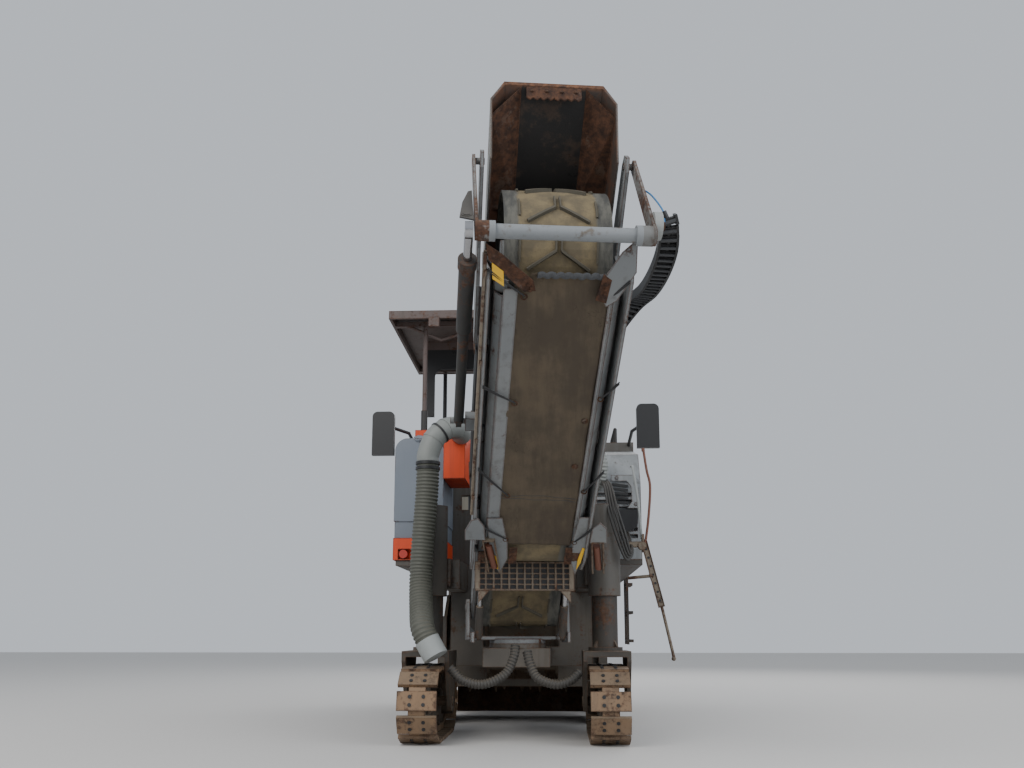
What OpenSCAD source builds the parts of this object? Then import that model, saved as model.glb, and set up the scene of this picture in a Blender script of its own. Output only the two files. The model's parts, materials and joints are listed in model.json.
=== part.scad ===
// Compact front-loading cold planer on four steered crawler tracks, conveyor parked folded.
// Forward is -Y, left of the machine is +X, Z is up, millimetres.

/* [Crawlers] */
// Distance from the front to the rear steering columns
wheelbase = 2850; // [2780:10:2950]
// Distance of a front column from the centre plane
front_track_x = 628; // [615:1:640]
// Distance of a rear column from the centre plane
rear_track_x = 600; // [590:1:615]
// Distance between the end wheels of one crawler
track_run = 830; // [780:5:850]
// Width of one track shoe
shoe_w = 260; // [230:2:270]
// Length of one track shoe
shoe_l = 124; // [100:1:128]
// Number of shoes in one loop
shoe_count = 21; // [21:1:22]
// Thickness of one track shoe
shoe_t = 26; // [18:1:30]
// Thickness of a yoke cheek
cheek_t = 28; // [20:1:34]
// Diameter of the steering columns
column_d = 180; // [160:2:190]

/* [Milling drum] */
// Distance of the drum axis behind the front columns
drum_y = 1400; // [1380:5:1420]
// Height of the drum axis
drum_z = 590; // [585:1:610]
// Working width of the drum
drum_w = 1200; // [1150:5:1210]
// Radius over the tips of the picks
cut_r = 370; // [355:1:375]
// Radius of the drum shell
shell_r = 272; // [260:1:280]
// Picks on each half of the drum
pick_count = 36; // [24:1:40]

/* [Conveyor] */
// Rise of the lower section above level
lower_angle = 44.5; // [43:0.5:45]
// Slewed angle at which the conveyor is parked
slew_angle = 7.5; // [0:0.5:10]
// Height of the tail drum axis
tail_z = 900; // [890:1:930]
// Distance from the tail axis to the fold pivot along the section
fold_a = 2731; // [2700:1:2760]
// Depth of the fold pivot below the line of the tail axis
fold_b = 132; // [125:1:140]
// Width of the rubber belt
belt_w = 560; // [500:5:570]
// Height of the chevron bars on the belt
chevron_h = 22; // [12:1:26]
// Thickness of the rubber belt
belt_t = 14; // [10:1:16]
// Radius of the belt where it turns round the fold
bend_r = 372; // [360:1:376]
// Width over the lower section's side rails
rail_w = 668; // [656:2:672]
// Height of the tunnel roof over the line of the tail axis
tunnel_b = 364; // [362:1:380]
// Length of the front section's outer face
front_l = 2240; // [2200:5:2260]
// Width over the front section's side panels
front_w = 744; // [740:2:756]

/* [Bodywork] */
// Half of the width over the bodywork
body_x = 930; // [900:5:950]
// Height of the platform floor
floor_z = 1650; // [1620:5:1680]
// Height of the engine hood's top
hood_z = 2330; // [2280:5:2380]
// Height of the canopy's top
canopy_z = 3420; // [3380:5:3460]
// Length of the canopy
canopy_l = 1800; // [1700:10:1850]
// Width of the canopy
canopy_w = 1960; // [1900:10:2000]
// Width of the mirror glasses
mirror_w = 170; // [150:2:175]
// Height of the mirror glasses
mirror_h = 340; // [300:5:350]
// Diameter of the suction duct
duct_d = 160; // [140:2:170]

/* [Hidden] */
$fa = 6;
$fs = 3;
fit = 0.05;
seat_gap = 0.3;
side_gap = 6;
big = 5000;

// where the bounding box puts the origin
origin_x = 0;
origin_y = -613.515;

pin_r = 200;
chain_in = 20;
chain_out = 26;
chain_w = 110;
axle_z = pin_r + 24 + shoe_t;
wheel_r = pin_r - chain_in - 0.5;
arc_len = PI * pin_r;
loop_len = 2 * track_run + 2 * arc_len;
shoe_pitch = loop_len / shoe_count;
cheek_in = shoe_w / 2 + side_gap;
cheek_out = cheek_in + cheek_t;
yoke_top = axle_z * 2 + 100;
yoke_t = 40;
yoke_l = 520;
column_r = column_d / 2;
column_top = 1560;
rear_column_top = 1225;
sleeve_r = column_r + 26;
sleeve_bottom = 985;
track_pivot_r = 34;

module place() translate([origin_x, origin_y, 0]) children();

// one point of the chain's pin line, by its distance along the loop
function wrap(s) = s - loop_len * floor(s / loop_len);
function pin_pt(s) = let (p = wrap(s), a = 180 / PI / pin_r)
    p < track_run ? [p - track_run / 2, -pin_r]
    : p < track_run + arc_len ? [track_run / 2 + pin_r * sin((p - track_run) * a),
                                 -pin_r * cos((p - track_run) * a)]
    : p < 2 * track_run + arc_len ? [track_run * 1.5 + arc_len - p, pin_r]
    : [-track_run / 2 - pin_r * sin((p - 2 * track_run - arc_len) * a),
       pin_r * cos((p - 2 * track_run - arc_len) * a)];

module oblong(r) {
    square([track_run, 2 * r], center = true);
    translate([track_run / 2, 0]) circle(r);
    translate([-track_run / 2, 0]) circle(r);
}

// a loop seen from the side, laid along Y and stood up with its axles along X
module stand_up(w) rotate([90, 0, 90]) linear_extrude(w, center = true) children();

module track(x, y) color([0.45, 0.38, 0.31]) place() translate([x, y, axle_z]) {
    stand_up(chain_w) difference() {
        oblong(pin_r + chain_out);
        oblong(pin_r - chain_in);
    }
    for (i = [0 : shoe_count - 1]) {
        a = pin_pt((i - 0.02) * shoe_pitch);
        b = pin_pt((i + 0.98) * shoe_pitch);
        mid = (a + b) / 2;
        turn = atan2(b[1] - a[1], b[0] - a[0]);
        translate([0, mid[0], mid[1]]) rotate([turn, 0, 0])
            translate([-shoe_w / 2, -shoe_l / 2, -24 - shoe_t]) cube([shoe_w, shoe_l, shoe_t]);
    }
}

module cheek_outline() {
    polygon([[-yoke_l / 2, 0], [yoke_l / 2, 0], [yoke_l / 2, -70], [95, 220 - yoke_top],
             [60, 185 - yoke_top], [-60, 185 - yoke_top], [-95, 220 - yoke_top], [-yoke_l / 2, -70]]);
}

// inner side of the crawler carries the travel motor
module crawler_frame(x, y, inner, top) color([0.30, 0.30, 0.30]) place() translate([x, y, 0]) {
    difference() {
        union() {
            translate([-cheek_out, -yoke_l / 2, yoke_top - yoke_t]) cube([2 * cheek_out, yoke_l, yoke_t]);
            for (s = [-1, 1]) translate([s * (cheek_in + cheek_t / 2), 0, yoke_top])
                stand_up(cheek_t) cheek_outline();
            translate([0, 0, yoke_top - 1]) cylinder(r = column_r, h = top - yoke_top + 1);
            translate([0, 0, yoke_top - 1]) cylinder(r = column_r + 32, h = 26);
            for (a = [45 : 90 : 315]) rotate([0, 0, a]) translate([0, -9, yoke_top + 24])
                rotate([90, 0, 0]) translate([0, 0, -18]) linear_extrude(18)
                    polygon([[column_r - 6, -2], [column_r + 30, -2], [column_r - 6, 56]]);
        }
        translate([0, 0, axle_z]) rotate([0, 90, 0]) cylinder(r = track_pivot_r + seat_gap, h = 600, center = true);
    }
    translate([0, 0, axle_z]) {
        rotate([0, 90, 0]) cylinder(r = track_pivot_r, h = 2 * cheek_out + 16, center = true);
        difference() {
            translate([-60, -track_run / 2 + 190, -100]) cube([120, track_run - 380, 180]);
            translate([-45, -track_run / 2 + 180, -40]) cube([32, 120, 80]);
        }
        for (s = [-1, 1]) translate([s * 56, 0, 0]) stand_up(12)
            square([track_run + 90, 110], center = true);
        for (s = [-1, 1]) translate([0, s * track_run / 2, 0]) rotate([0, 90, 0]) {
            cylinder(r = wheel_r, h = 84, center = true);
            cylinder(r = 46, h = 136, center = true);
        }
        for (p = [-200, 0, 200]) translate([0, p, -pin_r + chain_in + 50.5]) rotate([0, 90, 0])
            cylinder(r = 50, h = 100, center = true);
        translate([inner * 40, track_run / 2, 0]) rotate([0, inner * 90, 0]) cylinder(r = 120, h = 84);
    }
}

module crawler_frame_fl() crawler_frame(front_track_x, 0, -1, column_top);
module crawler_frame_fr() crawler_frame(-front_track_x, 0, 1, column_top);
module crawler_frame_rl() crawler_frame(rear_track_x, wheelbase, -1, rear_column_top);
module crawler_frame_rr() crawler_frame(-rear_track_x, wheelbase, 1, rear_column_top);
module track_fl() track(front_track_x, 0);
module track_fr() track(-front_track_x, 0);
module track_rl() track(rear_track_x, wheelbase);
module track_rr() track(-rear_track_x, wheelbase);

wall_in = drum_w / 2 + 14;
wall_t = 26;
wall_out = wall_in + wall_t;
arch_r = cut_r + 46;
arch_t = 20;
stub_r = 70;
beam_in = 430;
beam_w = 130;
beam_z = 1045;
beam_h = 215;
beam_top = beam_z + beam_h;
beam_front = 110;
beam_back = 3760;
housing_front = drum_y - arch_r - arch_t;
housing_back = drum_y + arch_r + arch_t;
bulkhead_y = 705;
pedestal_top = 620;
ring_r = 200;

// one row of picks a half, wound inwards like a worm
module milling_drum() color([0.40, 0.33, 0.27]) place() translate([0, drum_y, drum_z]) {
    rotate([0, 90, 0]) difference() {
        cylinder(r = shell_r, h = drum_w, center = true);
        for (s = [-1, 1]) translate([0, 0, s * drum_w / 4 + s * 20]) cylinder(r = shell_r - 30, h = drum_w / 2, center = true);
    }
    rotate([0, 90, 0]) cylinder(r = stub_r, h = 2 * wall_out - 8, center = true);
    for (s = [-1, 1]) rotate([0, 90, 0]) translate([0, 0, s * (drum_w / 2 - 60)])
        cylinder(r = shell_r - 28, h = 30, center = true);
    for (s = [-1, 1]) for (i = [0 : pick_count - 1]) {
        along = s * (22 + (drum_w / 2 - 44) * i / (pick_count - 1));
        around = i * 77 + (s > 0 ? 0 : 180);
        translate([along, 0, 0]) rotate([around, 0, 0]) {
            translate([-19, -34, shell_r - 8]) cube([38, 62, 50]);
            translate([0, -6, shell_r + 34]) rotate([24, 0, 0])
                cylinder(r1 = 19, r2 = 7, h = cut_r - shell_r - 44);
        }
    }
}

module arch_outline(r) {
    translate([drum_y, drum_z]) circle(r);
    translate([drum_y - r, 300]) square([2 * r, drum_z - 300]);
}

module drum_housing() color([0.55, 0.54, 0.50]) place() {
    difference() {
        union() {
            stand_up(2 * wall_in + 2) difference() {
                arch_outline(arch_r + arch_t);
                arch_outline(arch_r);
                translate([drum_y - arch_r / 2, 0]) square([arch_r, 500]);
                translate([drum_y - arch_r, 0]) square([2 * arch_r, 302]);
            }
            for (s = [-1, 1]) translate([s * (wall_in + wall_t / 2), 0, 0]) stand_up(wall_t)
                polygon([[housing_front - 40, 330], [housing_back + 40, 330], [housing_back + 40, 860],
                         [drum_y + 260, 1040], [drum_y - 260, 1040], [housing_front - 40, 860]]);
            for (s = [-1, 1]) for (y = [housing_front - 62, housing_back + 40])
                translate([s > 0 ? wall_in : -wall_out - 44, y, 330]) cube([wall_t + 44, 22, 530]);
            for (s = [-1, 1]) translate([s * 520, drum_y, 1035]) cube([120, 620, 20], center = true);
            for (s = [-1, 1]) translate([s * 520, drum_y, 1000]) cube([30, 560, 70], center = true);
        }
        translate([0, drum_y, drum_z]) rotate([0, 90, 0]) cylinder(r = stub_r + fit, h = 2000, center = true);
        translate([-286.3, housing_front - 100, 360]) cube([572.6, 140, 330]);
    }
}

// skid plates ride up and down beside the drum
plate_in = wall_out + 2;
module side_plate(s) color([0.50, 0.45, 0.40]) place() {
    translate([s * (plate_in + 11), 0, 0]) stand_up(22)
        polygon([[housing_front - 39.7, 480], [housing_front - 39.7, 130], [housing_front + 60, 34],
                 [housing_back - 60, 34], [housing_back + 39.7, 130], [housing_back + 39.7, 480]]);
    translate([s > 0 ? plate_in : -plate_in - 70, housing_front + 60, 24])
        cube([70, housing_back - housing_front - 120, 18]);
}
module side_plate_left() side_plate(1);
module side_plate_right() side_plate(-1);

module scraper() color([0.50, 0.47, 0.43]) place() {
    translate([-wall_in + 0.3, housing_back + 3, 60]) cube([2 * wall_in - 0.6, 24, 560]);
    translate([-wall_in + 0.3, housing_back + 3, 40]) cube([2 * wall_in - 0.6, 44, 60]);
    for (x = [-400, 0, 400]) translate([x - 15, housing_back + 26, 90]) cube([30, 70, 480]);
}

module sleeve(x, y, top) translate([x, y, sleeve_bottom]) cylinder(r = sleeve_r, h = top - sleeve_bottom);

module main_frame() color([0.62, 0.61, 0.57]) place() difference() {
    union() {
        for (s = [-1, 1]) translate([s > 0 ? beam_in : -beam_in - beam_w, beam_front, beam_z])
            cube([beam_w, beam_back - beam_front, beam_h]);
        for (y = [900, 2250, beam_back - 120]) translate([-beam_in - 1, y, beam_z + 30])
            cube([2 * beam_in + 2, 120, beam_h - 30]);
        for (s = [-1, 1]) {
            sleeve(s * front_track_x, 0, 1640);
            sleeve(s * rear_track_x, wheelbase, beam_top);
            translate([s > 0 ? beam_in + 60 : -front_track_x - 70, 20, beam_z + 20])
                cube([front_track_x + 10 - beam_in, 200, beam_h - 20]);
            translate([s > 0 ? beam_in + 60 : -rear_track_x - 60, wheelbase - 100, beam_z + 20])
                cube([rear_track_x - beam_in, 200, beam_h - 20]);
        }
        translate([-beam_in - beam_w, bulkhead_y, 470]) cube([2 * beam_in + 2 * beam_w, 30, beam_top - 470]);
        translate([-235, -190, pedestal_top - 130]) cube([470, bulkhead_y + 200, 130]);
        translate([0, 0, pedestal_top - 1]) cylinder(r = ring_r, h = 31);
        translate([-body_x + 10, beam_back - 60, 900]) cube([2 * body_x - 20, 60, beam_top - 900]);
        for (s = [-1, 1]) translate([s > 0 ? beam_in + beam_w - 1 : -body_x + 10, 165, beam_top - 40])
            cube([body_x - 10 - beam_in - beam_w + 1, beam_back - 165, 40]);
    }
    for (s = [-1, 1]) {
        translate([s * front_track_x, 0, 500]) cylinder(r = column_r + fit, h = column_top - 490);
        translate([s * rear_track_x, wheelbase, 500]) cylinder(r = column_r + fit, h = rear_column_top - 490);
    }
    translate([-300, bulkhead_y - 10, pedestal_top]) cube([600, 50, 400]);
    translate([0, 0, 400]) cylinder(r = 60 + fit, h = 400);
}

// short pick-up belt from the drum to the tail of the swung conveyor
module primary_conveyor() color([0.34, 0.33, 0.31]) place() {
    for (s = [-1, 1]) translate([s * 276, 0, 0]) stand_up(20)
        polygon([[housing_front + 8, 400], [housing_front + 8, 655], [640, 1010], [455, 1180], [455, 1010]]);
    stand_up(540) polygon([[housing_front - 6, 430], [housing_front - 6, 560], [520, 1130], [470, 1130],
                           [470, 1020]]);
}

// frames: slewed about the kingpin, lower about the tail axis, front about the fold
tail_r = 130;
rail_t = 22;
rail_out = rail_w / 2;
rail_in = rail_out - rail_t;
cover_t = 12;
cover_in = rail_out + seat_gap;
cover_out = cover_in + cover_t;
front_in = cover_out + side_gap;
front_t = (front_w - 2 * front_in) / 2;
front_out = front_w / 2;
arm_in = front_out + side_gap;
arm_t = 20;
lever_in = arm_in + arm_t + 26;
lever_t = 16;
lever_out = lever_in + lever_t;
cyl_x = lever_out + 28;
wedge = 6.6;
outer_z = -466;
inner_z = -33;
front_start = -208;
front_end = front_start + front_l;
head_y = front_end - 102;
head_r = 80;
fold_pin_r = 25;
lift_pin_r = 30;
lever_a = 3210;
lever_b = 58;
tube_a = 3103;
tube_b = -638;
anchor_a = 1605;
anchor_b = -7;
tunnel_end = 3550;
cheek_gap = 11;
yoke_in = rail_out + cheek_gap;
yoke_plate = 24;
lift_x = 290;
lift_base = [-260, 700];
lift_eye_a = 440;
lift_eye_b = -200;

module slewed() place() rotate([0, 0, slew_angle]) children();
module lower() slewed() translate([0, 0, tail_z]) rotate([-lower_angle, 0, 0]) children();
module front() lower() translate([0, -fold_a, -fold_b]) rotate([wedge, 0, 0]) children();
module both() for (s = [-1, 1]) scale([1, 1, 1]) mirror([s < 0 ? 1 : 0, 0, 0]) children();
module across(r, h) rotate([0, 90, 0]) cylinder(r = r, h = h, center = true);

module slew_yoke() color([0.55, 0.55, 0.52]) slewed() difference() {
    union() {
        translate([0, 0, pedestal_top - 100]) cylinder(r = 60, h = 140);
        translate([0, 0, pedestal_top + 30 + seat_gap]) cylinder(r = ring_r, h = 32);
        translate([-yoke_in - yoke_plate, -110, pedestal_top + 56]) cube([2 * (yoke_in + yoke_plate), 200, 26]);
        both() {
            translate([yoke_in + yoke_plate / 2, 0, 0]) stand_up(yoke_plate)
                polygon([[-110, pedestal_top + 57], [90, pedestal_top + 57], [62, tail_z + 40], [30, tail_z + 62],
                         [-30, tail_z + 62], [-62, tail_z + 40]]);
            translate([yoke_in - 70, 30, pedestal_top + 80]) rotate([90, 0, 0]) linear_extrude(16)
                polygon([[0, 0], [72, 0], [72, 90]]);
            translate([lift_x + 32, -300, pedestal_top + 40]) cube([20, 300, 70]);
            translate([lift_x - 20, -150, pedestal_top + 56]) cube([75, 60, 26]);
            translate([lift_x, lift_base[0], lift_base[1]]) translate([10, 0, 0]) across(14, 50);
        }
    }
    translate([0, 0, tail_z]) across(lift_pin_r + fit, 2000);
}

// lift cylinders, from the yoke to the underside of the lower section
eye_y = -lift_eye_a * cos(lower_angle) + lift_eye_b * sin(lower_angle);
eye_z = lift_eye_a * sin(lower_angle) + lift_eye_b * cos(lower_angle) + tail_z;
lift_len = sqrt(pow(eye_y - lift_base[0], 2) + pow(eye_z - lift_base[1], 2));
lift_turn = atan2(eye_z - lift_base[1], eye_y - lift_base[0]);

module lift_line() slewed() both() translate([lift_x, lift_base[0], lift_base[1]])
    rotate([lift_turn - 90, 0, 0]) children();

module lift_barrels() color([0.25, 0.25, 0.25]) lift_line() difference() {
    union() {
        cylinder(r = 27, h = 230);
        across(26, 30);
    }
    across(14 + fit, 200);
    translate([0, 0, 60]) cylinder(r = 16 + fit, h = 400);
}

module lift_rods() color([0.75, 0.75, 0.75]) lift_line() {
    translate([0, 0, 152]) cylinder(r = 16, h = lift_len - 152 - 10);
    translate([0, 0, lift_len]) across(26, 36);
}

module rail_outline() {
    polygon([[70, 40], [40, 70], [-120, 100], [-2350, 100], [-2480, 40], [-fold_a - 30, -fold_b + 60],
             [-fold_a - 42, -fold_b - 20], [-fold_a, -fold_b - 44], [-2600, -150], [-500, -150],
             [-lift_eye_a - 34, lift_eye_b - 34], [-lift_eye_a + 34, lift_eye_b - 34], [-330, -150],
             [-60, -90], [40, -70], [70, -40]]);
}

module lower_frame() color([0.50, 0.50, 0.48]) lower() {
    both() {
        translate([rail_out - rail_t / 2, 0, 0]) stand_up(rail_t) rail_outline();
        translate([rail_out - 2, -2500, -90]) cube([arm_in - rail_out + 4, 250, 120]);
        translate([arm_in + arm_t / 2, 0, 0]) stand_up(arm_t) difference() {
            polygon([[-2200, -105], [-2200, 30], [-2500, 150], [-3200, 120], [-3262, 90], [-3270, 30],
                     [-3200, -5], [-2760, -30], [-2560, -105]]);
            translate([-lever_a, lever_b]) circle(18 + fit);
        }
        translate([(rail_in + front_out) / 2, -fold_a, -fold_b]) across(fold_pin_r, front_out - rail_in);
    }
    across(lift_pin_r, 2 * (yoke_in + yoke_plate) + 12);
    across(tail_r - belt_t - seat_gap, belt_w - 4);
    for (a = [520, 1200, 1900, 2500]) translate([0, -a, 0]) across(28, 2 * rail_in + 4);
    translate([0, -fold_a, -fold_b]) across(34, 2 * rail_in + 4);
    translate([0, -fold_a, -fold_b]) across(110, belt_w - 10);
    translate([-lever_in - 4, -anchor_a - 45, anchor_b - 45]) cube([lever_in + 6 - rail_out, 90, 84]);
    translate([-lever_out - 20, -anchor_a, anchor_b]) across(18, 120);
}

module tunnel_section(out, top) {
    polygon([[-out, 45], [-out, top - 74], [-out + 76, top], [out - 76, top], [out, top - 74], [out, 45],
             [out - cover_t, 45], [out - cover_t, top - 78], [out - 81, top - cover_t],
             [-out + 81, top - cover_t], [-out + cover_t, top - 78], [-out + cover_t, 45]]);
}

module tunnel_cover() color([0.56, 0.58, 0.58]) lower() {
    intersection() {
        translate([0, -380, 0]) rotate([90, 0, 0]) linear_extrude(tunnel_end)
            tunnel_section(cover_out, tunnel_b);
        stand_up(2 * rail_w) polygon([[-380, 40], [-tunnel_end + 315, 40], [-tunnel_end + 315, 45],
                                      [-tunnel_end, tunnel_b + 2], [-380, tunnel_b + 2]]);
    }
}

// belt bars: a V seen from above, its arms cut to the curve of the belt
bar_w = 26;
half_belt = belt_w / 2 - 16;
module vee() {
    polygon([[0, 50], [half_belt, -80], [half_belt, -80 - bar_w], [0, 50 - bar_w], [-half_belt, -80 - bar_w],
             [-half_belt, -80]]);
}
module tongues() {
    for (s = [-1, 1]) translate([s * (half_belt - 40) - 35, 20]) square([70, 18]);
    translate([-40, -70]) square([80, 14]);
}
module ring_bars(r) intersection() {
    rotate([0, 90, 0]) difference() {
        cylinder(r = r + chevron_h, h = belt_w, center = true);
        cylinder(r = r - 3, h = 2 * belt_w, center = true);
    }
    children();
}

module lower_belt() color([0.22, 0.21, 0.20]) lower() {
    stand_up(belt_w) {
        polygon([[0, tail_r], [-fold_a, bend_r - fold_b], [-fold_a, bend_r - fold_b - belt_t],
                 [0, tail_r - belt_t]]);
        polygon([[0, -tail_r], [-2300, -tail_r], [-2300, -tail_r + belt_t], [0, -tail_r + belt_t]]);
        difference() {
            circle(tail_r);
            circle(tail_r - belt_t);
            translate([-2 * tail_r, -2 * tail_r]) square([2 * tail_r, 4 * tail_r]);
        }
        translate([-fold_a, -fold_b]) difference() {
            circle(bend_r);
            circle(bend_r - belt_t);
            translate([0, -2 * bend_r]) square([2 * bend_r, 4 * bend_r]);
        }
    }
    translate([0, -fold_a, -fold_b]) for (a = [28, 66, 104, 142])
        ring_bars(bend_r) rotate([a, 0, 0]) linear_extrude(2 * bend_r) mirror([0, 1]) mirror([0, 1]) vee();
    for (a = [140, 390]) translate([0, -a, -tail_r - chevron_h]) linear_extrude(chevron_h + 2) vee();
    for (a = [900, 1150, 1400, 1650, 1900]) translate([0, -a, -tail_r - chevron_h]) linear_extrude(chevron_h + 2) vee();
}

// square-holed guard under the tail
module tail_guard() color([0.42, 0.33, 0.27]) lower()
    translate([0, -535, -250]) rotate([lower_angle, 0, 0]) {
        difference() {
            translate([-332, -6, -96]) cube([664, 12, 192]);
            for (x = [-5.5 : 5.5]) for (z = [-2 : 2])
                translate([x * 52 - 19, -20, z * 36 - 13]) cube([38, 40, 26]);
        }
        both() translate([rail_in - 14.3, -6, -96]) cube([14, 30, 260]);
    }

module fold_lever() color([0.52, 0.53, 0.52]) lower() {
    both() {
        translate([lever_in + lever_t / 2, 0, 0]) stand_up(lever_t) {
            polygon([[-lever_a - 34, lever_b], [-lever_a + 34, lever_b], [-tube_a + 46, tube_b],
                     [-tube_a - 46, tube_b]]);
            translate([-lever_a, lever_b]) circle(36);
            translate([-tube_a, tube_b]) circle(48);
        }
        translate([(arm_in + lever_out) / 2 - 2, -lever_a, lever_b]) across(18, lever_out - arm_in + 6);
        translate([lever_in - 40, -tube_a, tube_b]) across(50, 84);
    }
    translate([0, -tube_a, tube_b]) across(36, 2 * lever_in + 4);
}

barrel_start = 880;
barrel_end = 1430;
rod_start = 660;
fold_len = sqrt(pow(tube_a - anchor_a, 2) + pow(tube_b - anchor_b, 2));
fold_turn = atan2(tube_b - anchor_b, -(tube_a - anchor_a));
module fold_line() lower() translate([-cyl_x, -anchor_a, anchor_b]) rotate([fold_turn - 90, 0, 0]) children();

module fold_barrel() color([0.16, 0.16, 0.16]) fold_line() difference() {
    union() {
        cylinder(r = 31, h = barrel_start + 10);
        across(40, 34);
        translate([0, 0, barrel_start]) cylinder(r = 42, h = barrel_end - barrel_start - 40);
        translate([0, 0, barrel_end - 60]) cylinder(r = 48, h = 60);
    }
    across(18 + fit, 300);
    translate([0, 0, 90]) cylinder(r = 22 + fit, h = barrel_end);
}

module fold_rod() color([0.75, 0.75, 0.75]) fold_line() {
    translate([0, 0, rod_start]) cylinder(r = 22, h = fold_len - rod_start - 20);
    translate([0, 0, fold_len]) across(42, 40);
}

// folded section, deep at the fold and pointed at its discharge end
function inner_at(y) = inner_z - y * tan(wedge);
module front_frame() color([0.56, 0.57, 0.56]) front() difference() {
    union() {
        both() {
            translate([front_in + front_t / 2, 0, 0]) stand_up(front_t) {
                polygon([[front_start, outer_z + 24], [front_start + 40, outer_z], [front_end - 120, outer_z],
                         [front_end + 30, outer_z + 60], [front_end - 40, inner_at(front_end) - 30],
                         [200, inner_at(200)], [40, -30], [-40, -30], [-60, -120]]);
                circle(44);
            }
            rotate([-90, 0, 0]) {
                translate([0, 0, -58]) linear_extrude(front_end - 60)
                    polygon([[326, 404], [326, 300], [318, 300], [318, 408], [286, 439], [255, 418], [250, 425],
                             [264, 432.8], [287, 450]]);
                translate([0, 0, -130]) linear_extrude(80)
                    polygon([[326, 392], [326, 384], [255, 411], [255, 420]]);
            }
            translate([252, 436, -182]) cube([front_in - 248, 50, 66]);
            translate([300, 436, -330]) cube([26, 50, 160]);
            translate([300, head_y - 990, -330]) cube([front_in - 296, 80, 50]);
            translate([300, head_y - 430, -330]) cube([front_in - 296, 80, 50]);
        }
        translate([0, 460, -150]) across(22, 2 * front_in + 4);
        for (y = [head_y - 990, head_y - 390]) translate([0, y, -305]) across(26, 2 * front_in + 4);
        translate([0, head_y, -340]) across(head_r - belt_t - seat_gap, belt_w - 4);
        translate([0, head_y, -340]) across(26, 2 * front_in + 4);
    }
    translate([0, 0, 0]) across(fold_pin_r + fit, 3000);
}

module front_belt() color([0.24, 0.23, 0.21]) front() stand_up(belt_w - 10) difference() {
    union() {
        polygon([[0, -412], [head_y + 4, -417], [head_y + 4, -263], [430, -95]]);
        translate([head_y, -340]) circle(head_r);
    }
    polygon([[-50, -400], [head_y + 4, -403], [head_y + 4, -277], [430, -107], [300, -107]]);
    translate([head_y, -340]) circle(head_r - belt_t);
}

module belt_cover() color([0.40, 0.34, 0.28]) front()
    translate([-263, front_start + 20, -439]) cube([526, front_l - 260, 5.7]);

module rounded_block(size, r) {
    translate([r, 0, 0]) cube([size[0] - 2 * r, size[1], size[2]]);
    translate([0, 0, 0]) cube([size[0], size[1], size[2] - r]);
    for (x = [r, size[0] - r]) translate([x, 0, size[2] - r]) rotate([-90, 0, 0]) cylinder(r = r, h = size[1]);
}

module tank_hood() color([0.52, 0.56, 0.60]) place() difference() {
    union() {
        translate([hood_x, 160, band_z + 127]) rounded_block([hood_w, 690, 638], 95);
        translate([hood_x + 6, 168, band_z + 0.3]) cube([hood_w - 12, 674, 130]);
        translate([hood_x + 178, 250, band_z + 690]) rotate([42, 0, 0]) cylinder(r = 40, h = 110);
    }
    for (z = [1640, 1860]) translate([hood_x - 2, 300, z]) cube([6, 420, 120]);
}

// orange side panel with lamp recess, and the box that the suction elbow plugs into
module lamp_frame() color([0.78, 0.34, 0.12]) place() {
    difference() {
        translate([hood_x, 150, beam_top + 0.3]) cube([hood_w, 700, band_z - beam_top - 0.3]);
        translate([hood_x + 40, 140, beam_top + 8]) cube([220, 60, 74]);
    }
    difference() {
        translate([hood_x + hood_w + 0.3, 140, 1874]) cube([165, 500, 430]);
        translate([duct_elbow[0][0], 139, duct_elbow[0][2]]) rotate([-90, 0, 0])
            cylinder(r = duct_d / 2 + 3, h = duct_d / 2 + 1);
    }
    translate([hood_x + 125, 330, band_z + 765.3]) cube([195, 200, 100]);
}

module side_hood() color([0.62, 0.63, 0.62]) place() translate([740, 0, 0]) {
    difference() {
        stand_up(360) translate([0, 0]) polygon([[170, beam_top + 0.3], [170, 1830], [330, 2080], [850, 2200],
                                                 [850, beam_top + 0.3]]);
        translate([0, 0, 0]) for (i = [0 : 6]) translate([-150, 100, 1420 + i * 52]) cube([300, 110, 26]);
    }
}

// deck, low walls and front dashboard of the operator's stand
module platform() color([0.56, 0.55, 0.50]) place() {
    deck_back = 2600;
    difference() {
        union() {
            translate([-body_x, 900, floor_z - 30]) cube([2 * body_x, deck_back - 900, 30]);
            translate([-body_x + 20, 900, beam_top]) cube([2 * body_x - 40, 40, floor_z - beam_top - 29]);
            translate([-body_x + 20, deck_back - 60, beam_top]) cube([2 * body_x - 40, 40, floor_z - beam_top - 29]);
            for (s = [-1, 1]) translate([s > 0 ? body_x - 50 : -body_x + 20, 939, beam_top])
                cube([30, deck_back - 998, floor_z - beam_top - 29]);
            translate([-body_x, 900, floor_z - 1]) cube([2 * body_x, 30, 640]);
            for (s = [-1, 1]) translate([s > 0 ? body_x - 30 : -body_x, 929, floor_z - 1])
                cube([30, 900, 420]);
        }
        translate([-500, 890, floor_z + 80]) cube([1000, 60, 120]);
    }
}

module console() color([0.25, 0.25, 0.25]) place() {
    difference() {
        translate([0, 0, 0]) stand_up(1080) polygon([[930.3, floor_z + 320], [930.3, floor_z + 700],
            [1010, floor_z + 720], [1260, floor_z + 600], [1260, floor_z + 560], [1010, floor_z + 320]]);
        translate([-500, 1080, floor_z + 640]) cube([300, 120, 200]);
    }
    for (x = [-400, 400]) translate([x, 1180, floor_z + 600]) cylinder(r = 14, h = 140);
    for (x = [-400, 400]) translate([x, 1180, floor_z + 750]) sphere(26);
    translate([-60, 1150, floor_z + 600]) cube([120, 30, 160]);
}

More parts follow.
